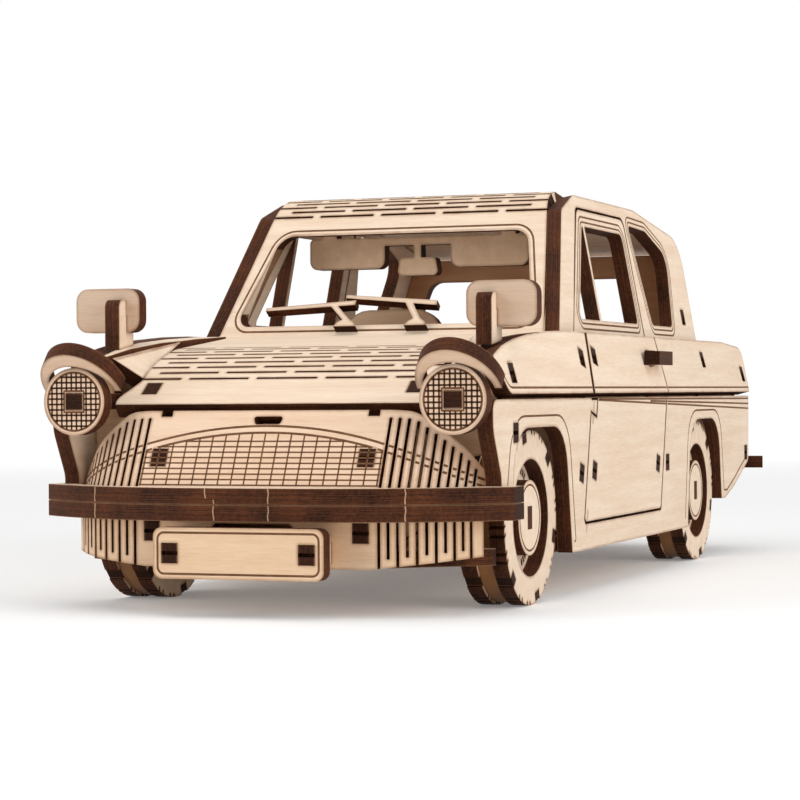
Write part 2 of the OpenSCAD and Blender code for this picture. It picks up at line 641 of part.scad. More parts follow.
// A tab that shows in the front face of a sheet, at [x, z] in that face
module front_tab(x, z, play = 0, reach = 2 * ply) {
    translate([x, 0, z]) difference() {
        translate([-ply / 2 - play, play > 0 ? -1 : 0, -tab_len / 2 - play])
            cube([ply + 2 * play, reach, tab_len + 2 * play]);
        if (play == 0) translate([-ply, -nick_deep, -nick_w / 2]) cube([2 * ply, 2 * nick_deep, nick_w]);
    }
}
module nose_tab(play = 0) {
    front_tab(grille_tab.x, grille_tab.y, play);
}
grille_foot = [for (q = nose_half) [q.x, q.y * tan(grille_lean)]];
grille_edge = [[nose_flat + 4.4, grille_len], [nose_flat + 12.9, grille_len - 4.9], [nose_end.x + 1, grille_len - 9]];
module grille_panel() {
    color(wood) difference() {
        at_grille() grille_sheet();
        translate([-side_x, valance_y - ply, nose_z - length]) cube([body_w, length, length]);
    }
}
module grille_sheet() {
    difference() {
        intersection() {
            nose_sheet(0, grille_len);
            plate_y(-2 * ply, 50) polygon(rounded([[-nose_end.x - 1, -1, 0], [nose_end.x + 1, -1, 0],
                [grille_edge[2].x, grille_edge[2].y, 0], [grille_edge[1].x, grille_edge[1].y, 12],
                [grille_edge[0].x, grille_edge[0].y, 6], [-grille_edge[0].x, grille_edge[0].y, 6],
                [-grille_edge[1].x, grille_edge[1].y, 12], [-grille_edge[2].x, grille_edge[2].y, 0]]));
        }
        nose_slits_cut(grille_foot, grille_edge);
        both() nose_tab(fit);
        both() translate([grille_tab.x - 1, -1, grille_len - 1.2]) cube([2.2, 2 * ply, 3]);
        plate_y(-ply, 3 * ply) polygon(rounded([[-2.4, grille_len - 2.8, 0.5], [2.4, grille_len - 2.8, 0.5],
            [3, grille_len - 1.2, 0.5], [-3, grille_len - 1.2, 0.5]], 3));
    }
}
plate_z0 = bumper_z - 2 * ply - plate_h - 1;
plate_y0 = -length / 2;
valance_tab_z = 14.9;
valance_top = nose_z - 0.3;
bracket_x = plate_w / 2 - 3.2;
bracket_z = plate_z0 + plate_h / 2;
module nose_tab_low(play = 0) {
    translate([0, valance_y, 0]) front_tab(grille_tab.x, valance_tab_z, play);
}
valance_rise = 2.2;
valance_edge = [[nose_flat - 2, sill_z], [nose_end.x + 2, sill_z + valance_rise]];
bumper_tab = [12, 4];
module bumper_tabs(play = 0) {
    both() translate([bumper_tab.x - play, valance_y - 1, bumper_z - 2 * ply - play])
        cube([bumper_tab.y + 2 * play, ply + 1 + (play > 0 ? 1 : 0), ply - glue + 2 * play]);
}
module valance() {
    color(wood) difference() {
        intersection() {
            translate([0, valance_y, 0]) nose_sheet(sill_z, valance_top);
            plate_y(valance_y - ply, 60) polygon(rounded([[-nose_end.x - 2, valance_top + 1, 0],
                [nose_end.x + 2, valance_top + 1, 0], [nose_end.x + 2, sill_z + valance_rise, 0], [nose_flat - 2, sill_z, 6],
                [-nose_flat + 2, sill_z, 6], [-nose_end.x - 2, sill_z + valance_rise, 0]]));
        }
        translate([0, valance_y, 0]) nose_slits_cut(valance_edge, level(valance_top));
        both() nose_tab_low(fit);
        both() translate([bracket_x - ply / 2 - fit, valance_y - 1, bracket_z - tab_len / 2 - fit])
            cube([ply + 2 * fit, 2 * ply, tab_len + 2 * fit]);
        bumper_tabs(fit);
        plate_y(valance_y - 1, 2 * ply) polygon([[-9.4, 14.8], [8.4, 14.8], [6.6, 16.4], [-7.6, 16.4]]);
    }
}
bumper_depth = 6;
bumper_curve = 2.6;
module front_bumper_plies() {
    front = valance_y - bumper_depth - seam;
    room = side_x + seam;
    color(wood) {
        for (k = [1, 2]) plate_z(bumper_z - k * ply, ply - glue) difference() {
            polygon(concat(bow(bumper_half, front, bumper_sweep, 14, bumper_curve),
                reversed(bow(bumper_half, front + bumper_depth, bumper_sweep - 0.5, 14, bumper_curve))));
            translate([0, valance_y]) polygon(concat(moved(nose_line, -seam), [
                [-room, nose_edge - valance_y - seam], [-room, length], [room, length],
                [room, nose_edge - valance_y - seam]]));
        }
        bumper_tabs();
    }
}
module number_plate() {
    color(wood) difference() {
        plate_y(plate_y0) polygon(rounded([[-plate_w / 2, plate_z0, 1.6], [plate_w / 2, plate_z0, 1.6],
            [plate_w / 2, plate_z0 + plate_h, 1.6], [-plate_w / 2, plate_z0 + plate_h, 1.6]]));
        both() translate([bracket_x - ply / 2 - fit, plate_y0 - 1, bracket_z - tab_len / 2 - fit])
            cube([ply + 2 * fit, ply + 2, tab_len + 2 * fit]);
    }
}
// Brackets on edge: a short pair holds the number plate, a tall pair the valance and the grille panel
nose_frame_top = 33;
function grille_back(z) = valance_y + ply / cos(grille_lean) + (z - nose_z) * tan(grille_lean) + fit;
module nose_brackets() {
    from = plate_y0 + ply;
    back = front_wall_y - ply / 2 - fit;
    inner = valance_y + ply + fit;
    color(wood) both() {
        translate([0, plate_y0, 0]) front_tab(bracket_x, bracket_z, 0, valance_y + ply - plate_y0);
        translate([bracket_x - ply / 2, from + glue, bracket_z - tab_len / 2 - 1.4])
            cube([ply, valance_y - from - 2 * glue, tab_len + 2.8]);
        plate_x(grille_tab.x + ply / 2) polygon([[inner, floor_top + glue], [inner, nose_z - 0.5],
            [grille_back(nose_z) + 0.5, nose_z], [grille_back(nose_frame_top), nose_frame_top],
            [back, nose_frame_top], [back, floor_top + glue]]);
        nose_tab_low();
        at_grille() nose_tab();
    }
}

// Headlights, brows, wing tops and the infills beside the bonnet
lamp_y = yf - 29.4 - ply;
wing_front = 46.7;
wing_out = side_x - 6.4;
brow_half = 7.8;
brow_high = 10.3;
brow_hollow = [6.5, 7];
carrier_half = 1.6;
module headlights() {
    color(wood) both() difference() {
        translate([lamp_x, lamp_y + ply, lamp_z]) rotate([90, 0, 0]) cylinder(r = lamp_r, h = ply);
        translate([lamp_x - carrier_half - fit, lamp_y - 1, lamp_z - ply / 2 - fit])
            cube([2 * carrier_half + 2 * fit, ply + 2, ply + 2 * fit]);
    }
}
// A thin stay for each brow, over the lamp, between the wing top and the side panel
stay_deep = 1.6;
stay_in = wing_out + 0.15;
stay_out = upper_in(stay_z + stay_deep) - fit;
stay_end = brow_hollow.y * sqrt(1 - pow((stay_out - lamp_x) / brow_hollow.x, 2)) - glue;
module headlight_carriers() {
    back = front_wall_y - ply / 2;
    color(wood) both() {
        translate([lamp_x - carrier_half, lamp_y, lamp_z - ply / 2]) cube([2 * carrier_half, ply + 1, ply]);
        translate([lamp_x - carrier_half - 1, lamp_y + ply, lamp_z - ply / 2])
            cube([2 * carrier_half + 1, back - lamp_y - ply, ply]);
        difference() {
            translate([stay_in, lamp_y - 2 * ply, stay_z])
                cube([stay_out - stay_in, front_wall_y + ply / 2 - lamp_y + 2 * ply, stay_deep]);
            at_brow() translate([-side_x, -length / 2, stay_end]) cube([body_w, length, body_w]);
        }
    }
}
module at_brow() {
    translate([lamp_x, lamp_y + ply + 0.7, lamp_z + 1.9]) rotate([brow_lean, 0, 0]) children();
}
// A crescent that leans over the lamp
module brows() {
    color(wood) both() at_brow() plate_y(0) intersection() {
        difference() {
            scale([brow_half, brow_high]) circle(r = 1);
            scale(brow_hollow) circle(r = 1);
        }
        translate([-brow_half, 0]) square([2 * brow_half, brow_high]);
    }
}
wing_line = [[-21.4, wing_front], [-15, 48.2], [-6, 49.5], [6, 50.4], [20, waist_z - 0.3]];
function wing_z(u) = lookup(u, wing_line);
wing_in = bonnet_half + shut_gap;
infill_tip = 0;
infill_front = -20;
module wing_plan(grow = 0) {
    polygon([[side_x, yf - 40], [side_x, yf + 40], [wing_in - grow, yf + 40],
        [wing_in - grow, yf + infill_tip], [wing_out - 1 - grow, yf + infill_front - 2]]);
}
module wing_tops() {
    color(wood) both() intersection() {
        rotate([90, 0, 90]) linear_extrude(wing_out) polygon(sheet([for (q = wing_line) [yf + q.x, q.y]], 0, ply));
        plate_z(sill_z, roof_z) wing_plan();
    }
}
// A flat triangle that closes the corner between the bonnet and the wing top
infill_a = [wing_in + 0.1, yf - 17.8, 42.6];
infill_b = [wing_out - 1.4, yf - 20.2, 46.5];
infill_c = [wing_in + 0.1, yf - 1.2, 49.7];
function cross_unit(a, b) = unit(cross(a, b));
module bonnet_infills() {
    u = unit(infill_b - infill_a);
    n = cross_unit(u, infill_c - infill_a);
    v = cross(n, u);
    m = [[u.x, v.x, n.x, infill_a.x], [u.y, v.y, n.y, infill_a.y], [u.z, v.z, n.z, infill_a.z], [0, 0, 0, 1]];
    color(wood) both() difference() {
        multmatrix(m) translate([0, 0, -ply]) linear_extrude(ply) polygon([[0, 0],
            [norm(infill_b - infill_a), 0], [(infill_c - infill_a) * u, (infill_c - infill_a) * v]]);
        plate_z(sill_z, roof_z) wing_plan(glue);
    }
}
mirror_x = wing_out + 0.55;
mirror_y = yf - 13;
mirror_out = 2.4;
head_w = 13.4;
head_h = 8.4;
head_z = 55.6;
post_half = 3;
module mirror_posts() {
    foot_z = wing_z(-13 - post_half) + 0.1;
    color(wood) both() difference() {
        plate_x(mirror_x + ply / 2) polygon(rounded([[mirror_y - post_half, foot_z, 0],
            [mirror_y + post_half, wing_z(-13 + post_half) + 0.05, 0],
            [mirror_y + post_half, head_z + 2, 1], [mirror_y - post_half, head_z + 2, 1.6]]));
        translate([mirror_x - ply, mirror_y - fit, head_z - 1]) cube([2 * ply, ply + 2 * fit, head_h]);
    }
}
module mirror_heads() {
    color(wood) both() difference() {
        translate([mirror_x + mirror_out, 0, head_z]) plate_y(mirror_y) polygon(rounded([
            [-head_w / 2, -head_h / 2, 2.4], [head_w / 2, -head_h / 2, 2.4],
            [head_w / 2, head_h / 2, 2.4], [-head_w / 2, head_h / 2, 2.4]]));
        translate([mirror_x - ply / 2 - fit, mirror_y - 1, head_z - head_h]) cube([ply + 2 * fit, ply + 2, head_h - 1]);
    }
}

// Wipers lie on the foot of the windscreen
wiper_t = 2;
wiper_w = 1.2;
wiper_foot = 2.4;
module wiper(foot_x, from, to, reach) {
    elbow = from + reach * (to - from);
    polygon([from, [to.x, to.y - wiper_w / 2], [to.x, to.y + wiper_w / 2], [from.x, from.y + 0.8]]);
    polygon([[foot_x - wiper_foot, 0], [foot_x + wiper_foot, 0], [foot_x + 1.8, 1], [foot_x + 0.8, 1.7],
        elbow + [0.8, 0.05], elbow + [-0.8, 0.05], [foot_x - 0.8, 1.7], [foot_x - 1.8, 1]]);
}
module wipers() {
    color(wood) translate([0, foot.x, foot.y]) rotate([-rake, 0, 0]) translate([0, -wiper_t, 0.6])
        plate_y(0, wiper_t) {
            wiper(-6.8, [-25, 4.2], [-5.6, 6], 0.75);
            wiper(8.4, [-8, 7.2], [12, 5.6], 0.69);
        }
}
visor_y = header.x + 5.6;
visor_top = header_z - 4.4;
visor_h = 6.6;
visor_half = cabin_half - 13.7;
visor_tab = visor_half - 4.4;
visor_in = 7.4;
module visor_strip() {
    low = visor_top - visor_h;
    rail = 1.8;
    color(wood) plate_y(visor_y) {
        for (s = [0, 1]) mirror([s, 0]) {
            polygon(rounded([[visor_in, low, 1.8], [visor_half, low, 1.8], [visor_half, visor_top, 1],
                [visor_in, visor_top, 0]]));
            translate([visor_tab - tab_len / 2, visor_top - 1])
                square([tab_len, lookup(visor_y, roof_line) - 1.18 * ply - visor_top + 1]);
        }
        translate([-visor_in - 1, visor_top - rail]) square([2 * visor_in + 2, rail]);
        translate([-0.8, low]) square([1.6, visor_h]);
        polygon(rounded([[-4.6, low - 1.6, 1], [4.6, low - 1.6, 1], [4, low + 2.2, 0.8], [-4, low + 2.2, 0.8]]));
    }
}

// Inside the cabin
dash_y = yf + 40;
dash_top = cabin_z - 0.4;
dash_half = cabin_half - 8.1;
wheel_axis = [-15, dash_y + 10, 44.5];
column_tilt = 24;
column_d = 2.4;
column_play = 0.06;
module column(d, from, to) {
    translate(wheel_axis) rotate([-90 + column_tilt, 0, 0]) translate([0, 0, -to]) cylinder(d = d, h = to - from);
}
module dashboard() {
    strut_z = 40;
    strut_y = firewall_at(strut_z + ply / 2) + ply / 2 / cos(door_tilt) + glue;
    color(wood) difference() {
        union() {
            plate_y(dash_y) polygon(rounded([[-dash_half, 33, 3], [dash_half, 33, 3],
                [dash_half, dash_top, 3], [-dash_half, dash_top, 3]]));
            both() translate([dash_half - 8, strut_y, strut_z - ply / 2])
                cube([ply, dash_y - strut_y + 1, ply]);
        }
        column(column_d + 2 * column_play, -40, 40);
    }
}
module steering_wheel() {
    color(wood) {
        translate(wheel_axis) rotate([-90 + column_tilt, 0, 0]) {
            difference() {
                cylinder(r = 7.6, h = 2);
                translate([0, 0, -1]) difference() {
                    cylinder(r = 6.2, h = 4);
                    translate([-7, -0.9, 0]) cube([14, 1.8, 4]);
                    translate([-0.9, -7, 0]) cube([1.8, 7, 4]);
                    cylinder(r = 2, h = 4);
                }
            }
        }
        column(column_d, -0.5, 15);
    }
}
seat_x = 15.6;
seat_half = 11.6;
seat_y = yf + 72;
seat_top = 58.6;
cushion_z = 24;
module front_seats() {
    color(wood) both() translate([seat_x, 0, 0]) {
        difference() {
            translate([0, seat_y, floor_top]) rotate([-9, 0, 0]) plate_y(0) polygon(rounded([
                [-seat_half, 0.6, 0], [seat_half, 0.6, 0],
                [seat_half, seat_top - floor_top, 6], [-seat_half, seat_top - floor_top, 6]]));
            translate([-seat_half + 3 - fit, seat_y - 20, cushion_z - fit])
                cube([2 * seat_half - 6 + 2 * fit, 40, ply + 2 * fit]);
        }
        plate_z(cushion_z) polygon(rounded([[-seat_half, seat_y - 19, 3], [seat_half, seat_y - 19, 3],
            [seat_half, seat_y + 0.4, 0], [seat_half - 3, seat_y + 0.4, 0], [seat_half - 3, seat_y + 6, 0],
            [-seat_half + 3, seat_y + 6, 0], [-seat_half + 3, seat_y + 0.4, 0], [-seat_half, seat_y + 0.4, 0]]));
        plate_y(seat_y - 15) translate([-seat_half + 2, floor_top]) square([2 * seat_half - 4, cushion_z - floor_top - glue]);
    }
}

// Hinge pins and rods, all fixed to the body
module hinge_pins() {
    color(dark) {
        both() door_pin(door_z);
        both() door_pin(tongue_z);
        rod(bonnet_rod);
        rod(boot_rod);
    }
}

// Doors
module door_lower() {
    color(wood) difference() {
        intersection() {
            plate_x(side_x) difference() {
                door_shape(0);
                tongue(shut_gap);
            }
            translate([0, -length, 0]) cube([side_x, 2 * length, lower_top_z]);
        }
        door_pin(door_z, pin_play);
        door_pin(tongue_z, pin_play);
        lower_tab(stile_at(stile_front_y, stile_tabs[0]), stile_tabs[0], fit, door_tilt);
        lower_tab(stile_at(stile_rear_y, stile_tabs[0]), stile_tabs[0], fit, door_tilt);
    }
}
module door_upper() {
    color(wood) difference() {
        upper_plane() plate_x(0) polygon(rounded(on_upper([[gap_line(upper_base_z) + shut_gap, upper_base_z, 0],
            [gap_line(waist_z) + shut_gap, waist_z, 0], [yf + door_back, waist_z, 0],
            [yf + door_back, upper_base_z, 0]])));
        upper_tab(stile_at(stile_front_y, stile_tabs[1]), stile_tabs[1], fit, door_tilt);
        upper_tab(handle_y + handle_len / 2, handle_z, fit);
    }
}
module door_window() {
    inner_low = cabin_z + frame_w;
    inner_top = window_top - frame_w;
    front_low = pillar_front + frame_w / cos(rake) + frame_w * tan(rake);
    front_top = front_low + (inner_top - inner_low) * tan(rake);
    light = yf + 61;
    color(wood) cabin_plane() plate_x(0) difference() {
        polygon(rounded(on_cabin(door_window(0))));
        difference() {
            polygon(rounded(on_cabin([[front_low, inner_low, 1], [front_top, inner_top, 1.5],
                [window_rear - frame_w, inner_top, 2], [window_rear - frame_w, inner_low, 1.2]])));
            translate([light - 0.7, 0]) square([1.4, 60]);
        }
    }
}
stile_in = side_x - ply - 7;
module stile(y) {
    top = cabin_z - ply * sin(cabin_lean) - ply / 2 * sin(door_tilt) - glue;
    slanted(y, stile_z0) plate_y(-ply / 2) polygon(slanted_points([[side_x - ply - fit, door_z + 3],
        [side_x - ply - fit, lower_top_z - 1], [upper_in(top) - fit, top - 1], [upper_in(top) - fit, top],
        [stile_in, top], [stile_in, door_z + 3]], stile_z0));
}
module door_stiles() {
    color(wood) {
        stile(stile_front_y);
        stile(stile_rear_y);
        for (y = [stile_front_y, stile_rear_y])
            lower_tab(stile_at(y, stile_tabs[0]), stile_tabs[0], 0, door_tilt);
        upper_tab(stile_at(stile_front_y, stile_tabs[1]), stile_tabs[1], 0, door_tilt);
    }
}
handle_y = yf + 79.5;
handle_len = 11.6;
handle_z = 46.6;
handle_out = 3.4;
module door_handle() {
    x = upper_x(handle_z - ply / 2) + 0.05;
    color(wood) {
        translate([x, handle_y, handle_z - ply / 2]) cube([handle_out, handle_len, ply]);
        tab(handle_y + handle_len / 2, handle_z, upper_in(handle_z) - 0.2, x + 0.5);
    }
}

// Bonnet
rib_x = bonnet_half - 3;
rib_deep = 4.6;
bonnet_slot = bonnet_line[0] + step(lip_slope, 0.62 * lip_len);
module bonnet_tab(play = 0) {
    translate([rib_x - ply / 2 - play, bonnet_slot.x, bonnet_slot.y]) rotate([lip_slope, 0, 0])
        translate([0, -tab_len / 2 - play, -ply - 0.4]) cube([ply + 2 * play, tab_len + 2 * play, ply + 0.4 + (play > 0 ? 1 : 0)]);
}
module bonnet() {
    color(wood) difference() {
        intersection() {
            bent(bonnet_line, side_x);
            plate_z(lip_z - 10, 40) polygon(rounded([[-bonnet_half - lip_flare, lip_y - 1, 2], [bonnet_half + lip_flare, lip_y - 1, 2],
                [bonnet_half, infill_a.y - 1.4, 1.5], [bonnet_half, bonnet_rear + 1, 0], [-bonnet_half, bonnet_rear + 1, 0],
                [-bonnet_half, infill_a.y - 1.4, 1.5]]));
        }
        for (i = [0:bonnet_rows - 1]) slit_row(bonnet_bend(i), bonnet_angle(i + 0.5), bonnet_half, i % 2 == 1);
        both() bonnet_tab(fit);
    }
}
module bonnet_ribs() {
    inner = [for (i = [1:last(bonnet_line)]) bonnet_line[i]];
    color(wood) both() {
        difference() {
            union() {
                plate_x(rib_x + ply / 2) polygon(sheet(concat([bonnet_slot - step(lip_slope, 2)], inner), ply + 0.02, ply + rib_deep));
                translate([rib_x - ply / 2, bonnet_rod.x, bonnet_rod.y]) rotate([0, 90, 0])
                    cylinder(r = rod_d / 2 + 0.8, h = ply);
            }
            rod(bonnet_rod, rod_play);
        }
        bonnet_tab();
    }
}

// Boot lid
boot_half = upper_in(waist_z) - 0.9;
boot_front = yr + 12.6;
boot_rows = 6;
boot_pitch = 2;
boot_z = waist_z - 1;
boot_flat = 20.5;
function boot_angle(i) = -3 - 11.5 * i;
function boot_bend(i) = i == 0 ? [boot_front, boot_z] + step(-3, boot_flat)
    : boot_bend(i - 1) + step(boot_angle(i), boot_pitch);
boot_last = boot_bend(boot_rows - 1);
boot_line = concat([[boot_front, boot_z]], [for (i = [0:boot_rows - 1]) boot_bend(i)],
    [boot_last + [(boot_last.y - belt_z - 0.9) / tan(-boot_angle(boot_rows)), belt_z + 0.9 - boot_last.y]]);
boot_lug_x = boot_half - 11;
module boot_lid() {
    color(wood) difference() {
        union() {
            bent(boot_line, boot_half);
            both() plate_x(boot_lug_x + ply / 2) polygon(rounded([[boot_front, boot_z - ply, 0],
                [boot_front, boot_rod.y - 1.9, 1.6], [boot_front + 5, boot_rod.y - 1.9, 1.6], [boot_front + 9, boot_z - ply - 0.5, 0]]));
        }
        for (i = [0:boot_rows - 1]) slit_row(boot_bend(i), boot_angle(i + 0.5), boot_half, i % 2 == 1);
        rod(boot_rod, rod_play);
    }
}

// Wheels: a disc with a rubber band round it between two toothed rings, which pegs tie together
peg_w = 2.4;
peg_deep = 1.9;
peg_turn = 14;
module wheel_place(y) {
    both() translate([0, y, axle_z]) rotate([0, 90, 0]) children();
}
module axle(y) {
    color(wood) translate([-(wheel_out - ply + 0.5), y, axle_z]) rotate([0, 90, 0])
        cylinder(d = axle_d, h = 2 * (wheel_out - ply + 0.5));
}
// One end of a peg, in the edge of a ring
module peg_end(play = 0) {
    for (k = [0:peg_n - 1]) rotate([0, 0, 360 / peg_n * k + peg_turn])
        translate([wheel_r - peg_deep - play, -peg_w / 2 - play, -play])
            cube([peg_deep - 0.3 + (play > 0 ? 2 : 0), peg_w + 2 * play, ply + 2 * play]);
}
module tyre_ring() {
    difference() {
        cylinder(r = wheel_r, h = ply);
        translate([0, 0, -1]) cylinder(r = rim_r, h = ply + 2);
        peg_end(fit);
        for (k = [0:peg_n - 1], a = [0.3, 0.4, 0.6, 0.7]) rotate([0, 0, 360 / peg_n * (k + a) + peg_turn])
            translate([wheel_r - 0.7, 0, -1]) rotate([0, 0, 35]) translate([0, -0.25, 0]) cube([2.4, 0.5, ply + 2]);
    }
    peg_end();
}
module tyre_rings(y) {
    color(wood) wheel_place(y) for (x = [wheel_in, wheel_out - ply]) translate([0, 0, x]) tyre_ring();
}
module wheel_discs(y) {
    color(wood) wheel_place(y) translate([0, 0, wheel_in + ply]) difference() {
        cylinder(r = disc_r, h = ply);
        translate([0, 0, -1]) cylinder(d = axle_d + 2 * fit, h = ply + 2);
        for (k = [0:11], a = [-7, 0, 7]) rotate([0, 0, 30 * k + a]) translate([hub_r + 1.6, -0.35, -1])
            cube([rim_r - hub_r - 2.6, 0.7, ply + 2]);
    }
}
module hub_caps(y) {
    color(wood) wheel_place(y) translate([0, 0, wheel_out - ply]) difference() {
        cylinder(r = hub_r, h = ply - 0.2);
        translate([0, 0, -1]) cylinder(d = axle_d + 2 * fit, h = 1.6);
    }
}
module bands(y) {
    color(amber) wheel_place(y) translate([0, 0, wheel_in + ply]) difference() {
        cylinder(r = band_r, h = ply);
        translate([0, 0, -1]) cylinder(r = disc_r, h = ply + 2);
    }
}

chassis_floor();
axle_bearers();
front_bulkhead();
firewall();
seat_bulkhead();
rear_bulkhead();
side(1) lower_side();  // lower_side_left
side(-1) lower_side();  // lower_side_right
side(1) upper_front();  // upper_front_left
side(-1) upper_front();  // upper_front_right
side(1) upper_rear();  // upper_rear_left
side(-1) upper_rear();  // upper_rear_right
side(1) cabin_side();  // cabin_side_left
side(-1) cabin_side();  // cabin_side_right
windscreen_roof();
rear_window_panel();
rear_panel();
tail_lamps();
rear_bumper();
grille_panel();
valance();
front_bumper_plies();
number_plate();
nose_brackets();
headlights();
headlight_carriers();
brows();
wing_tops();
bonnet_infills();
mirror_posts();
mirror_heads();
wipers();
visor_strip();
dashboard();
front_seats();
steering_wheel();
hinge_pins();
side(1) door_lower();  // door_lower_left
side(1) door_upper();  // door_upper_left
side(1) door_window();  // door_window_left
side(1) door_stiles();  // door_stiles_left
side(1) door_handle();  // door_handle_left
side(-1) door_lower();  // door_lower_right
side(-1) door_upper();  // door_upper_right
side(-1) door_window();  // door_window_right
side(-1) door_stiles();  // door_stiles_right
side(-1) door_handle();  // door_handle_right
bonnet();
bonnet_ribs();
boot_lid();
axle(yf);  // front_axle
tyre_rings(yf);  // front_tyre_rings
wheel_discs(yf);  // front_wheel_discs
hub_caps(yf);  // front_hub_caps
bands(yf);  // front_bands
axle(yr);  // rear_axle
tyre_rings(yr);  // rear_tyre_rings
wheel_discs(yr);  // rear_wheel_discs
hub_caps(yr);  // rear_hub_caps
bands(yr);  // rear_bands
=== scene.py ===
import math
import bpy
import numpy as np
from mathutils import Matrix, Vector
from mathutils.bvhtree import BVHTree


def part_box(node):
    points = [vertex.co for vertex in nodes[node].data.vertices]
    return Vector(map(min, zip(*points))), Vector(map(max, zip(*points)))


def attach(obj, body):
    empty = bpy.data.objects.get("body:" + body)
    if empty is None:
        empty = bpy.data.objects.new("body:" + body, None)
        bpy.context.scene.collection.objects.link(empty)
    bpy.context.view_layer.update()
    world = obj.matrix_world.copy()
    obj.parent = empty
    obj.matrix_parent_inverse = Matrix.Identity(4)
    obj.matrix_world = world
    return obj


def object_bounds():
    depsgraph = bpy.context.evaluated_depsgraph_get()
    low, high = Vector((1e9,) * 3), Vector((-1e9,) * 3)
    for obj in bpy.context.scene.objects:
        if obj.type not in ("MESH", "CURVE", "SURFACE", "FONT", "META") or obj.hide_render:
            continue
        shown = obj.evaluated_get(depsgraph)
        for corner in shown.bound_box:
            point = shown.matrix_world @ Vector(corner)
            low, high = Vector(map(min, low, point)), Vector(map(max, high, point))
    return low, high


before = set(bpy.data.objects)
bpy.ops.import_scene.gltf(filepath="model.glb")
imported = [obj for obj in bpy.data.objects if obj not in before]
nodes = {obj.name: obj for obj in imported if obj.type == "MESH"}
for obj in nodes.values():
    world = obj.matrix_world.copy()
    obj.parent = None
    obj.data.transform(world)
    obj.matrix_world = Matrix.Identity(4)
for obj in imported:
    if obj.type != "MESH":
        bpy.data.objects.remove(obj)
cadBox = [list(v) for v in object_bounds()]
mm = 0.001
print("frame loaded:", len(nodes), "nodes")

# camera, at the place that the photograph was taken from
shot = {"place": (177.78, -512.11, 39.48), "yaw": 20.21, "pitch": 0.162, "roll": -0.414, "lens": 112.23,
        "sensor": 36, "nearest": 0.01}


def addCamera():
    yaw, pitch, roll = (math.radians(shot[k]) for k in ("yaw", "pitch", "roll"))
    ahead = Vector((-math.sin(yaw), math.cos(yaw), 0))
    right = Vector((math.cos(yaw), math.sin(yaw), 0))
    up = Vector((0, 0, 1))
    look = ahead * math.cos(pitch) - up * math.sin(pitch)
    top = up * math.cos(pitch) + ahead * math.sin(pitch)
    side = right * math.cos(roll) + top * math.sin(roll)
    crown = top * math.cos(roll) - right * math.sin(roll)
    data = bpy.data.cameras.new("photoCamera")
    data.lens = shot["lens"]
    data.sensor_width = shot["sensor"]
    data.clip_start = shot["nearest"]
    camera = bpy.data.objects.new("photoCamera", data)
    place = Vector(shot["place"]) * mm
    camera.matrix_world = Matrix([[side[i], crown[i], -look[i], place[i]] for i in range(3)] + [[0, 0, 0, 1]])
    bpy.context.scene.collection.objects.link(camera)
    bpy.context.scene.camera = camera


addCamera()
bpy.context.scene.view_settings.view_transform = "Standard"

# soft studio light, watts and metres
studio = {"world": 0.34, "white": (1, 1, 1, 1),
          "overhead": {"place": (0.1, -0.1, 1.1), "aim": (0, 0, 0), "size": 1.4, "power": 6.6},
          "front": {"place": (-1.0, -0.9, 0.55), "aim": (0, 0, 0.03), "size": 1.0, "power": 8.4},
          "side": {"place": (1.2, -0.4, 0.5), "aim": (0, 0, 0.03), "size": 1.0, "power": 9.0}}


def addLamp(name):
    kit = studio[name]
    data = bpy.data.lights.new(name + "Lamp", "AREA")
    data.size = kit["size"]
    data.energy = kit["power"]
    lamp = bpy.data.objects.new(name + "Lamp", data)
    lamp.location = kit["place"]
    away = Vector(kit["aim"]) - Vector(kit["place"])
    lamp.rotation_euler = away.to_track_quat("-Z", "Y").to_euler()
    bpy.context.scene.collection.objects.link(lamp)


def feed(tree, sock, value):  # a number or a colour is set, an output is linked
    if isinstance(value, (int, float, tuple)):
        sock.default_value = value
    else:
        tree.links.new(value, sock)


def maths(tree, how, a, b=None):
    node = tree.nodes.new("ShaderNodeMath")
    node.operation = how
    feed(tree, node.inputs[0], a)
    if b is not None:
        feed(tree, node.inputs[1], b)
    return node.outputs[0]


def paleRays(tree):  # rays that see the plain background
    path = tree.nodes.new("ShaderNodeLightPath")
    seen = maths(tree, "MAXIMUM", path.outputs["Is Camera Ray"], path.outputs["Is Glossy Ray"])
    return maths(tree, "MAXIMUM", seen, path.outputs["Is Transmission Ray"])


def addWorld():
    world = bpy.data.worlds.new("studioWorld")
    world.use_nodes = True
    tree = world.node_tree
    tree.nodes.clear()
    out = tree.nodes.new("ShaderNodeOutputWorld")
    light = tree.nodes.new("ShaderNodeBackground")
    white = tree.nodes.new("ShaderNodeBackground")
    for shader, strength in ((light, studio["world"]), (white, 1.0)):
        shader.inputs["Color"].default_value = studio["white"]
        shader.inputs["Strength"].default_value = strength
    mix = tree.nodes.new("ShaderNodeMixShader")
    tree.links.new(paleRays(tree), mix.inputs["Fac"])
    tree.links.new(light.outputs[0], mix.inputs[1])
    tree.links.new(white.outputs[0], mix.inputs[2])
    tree.links.new(mix.outputs[0], out.inputs["Surface"])
    bpy.context.scene.world = world


for lampName in ("overhead", "front", "side"):
    addLamp(lampName)
addWorld()

floorKit = {"half": 4.0, "colour": (0.86, 0.86, 0.86, 1), "lift": 0.16, "plainFrom": 0.25, "plainTo": 0.9}


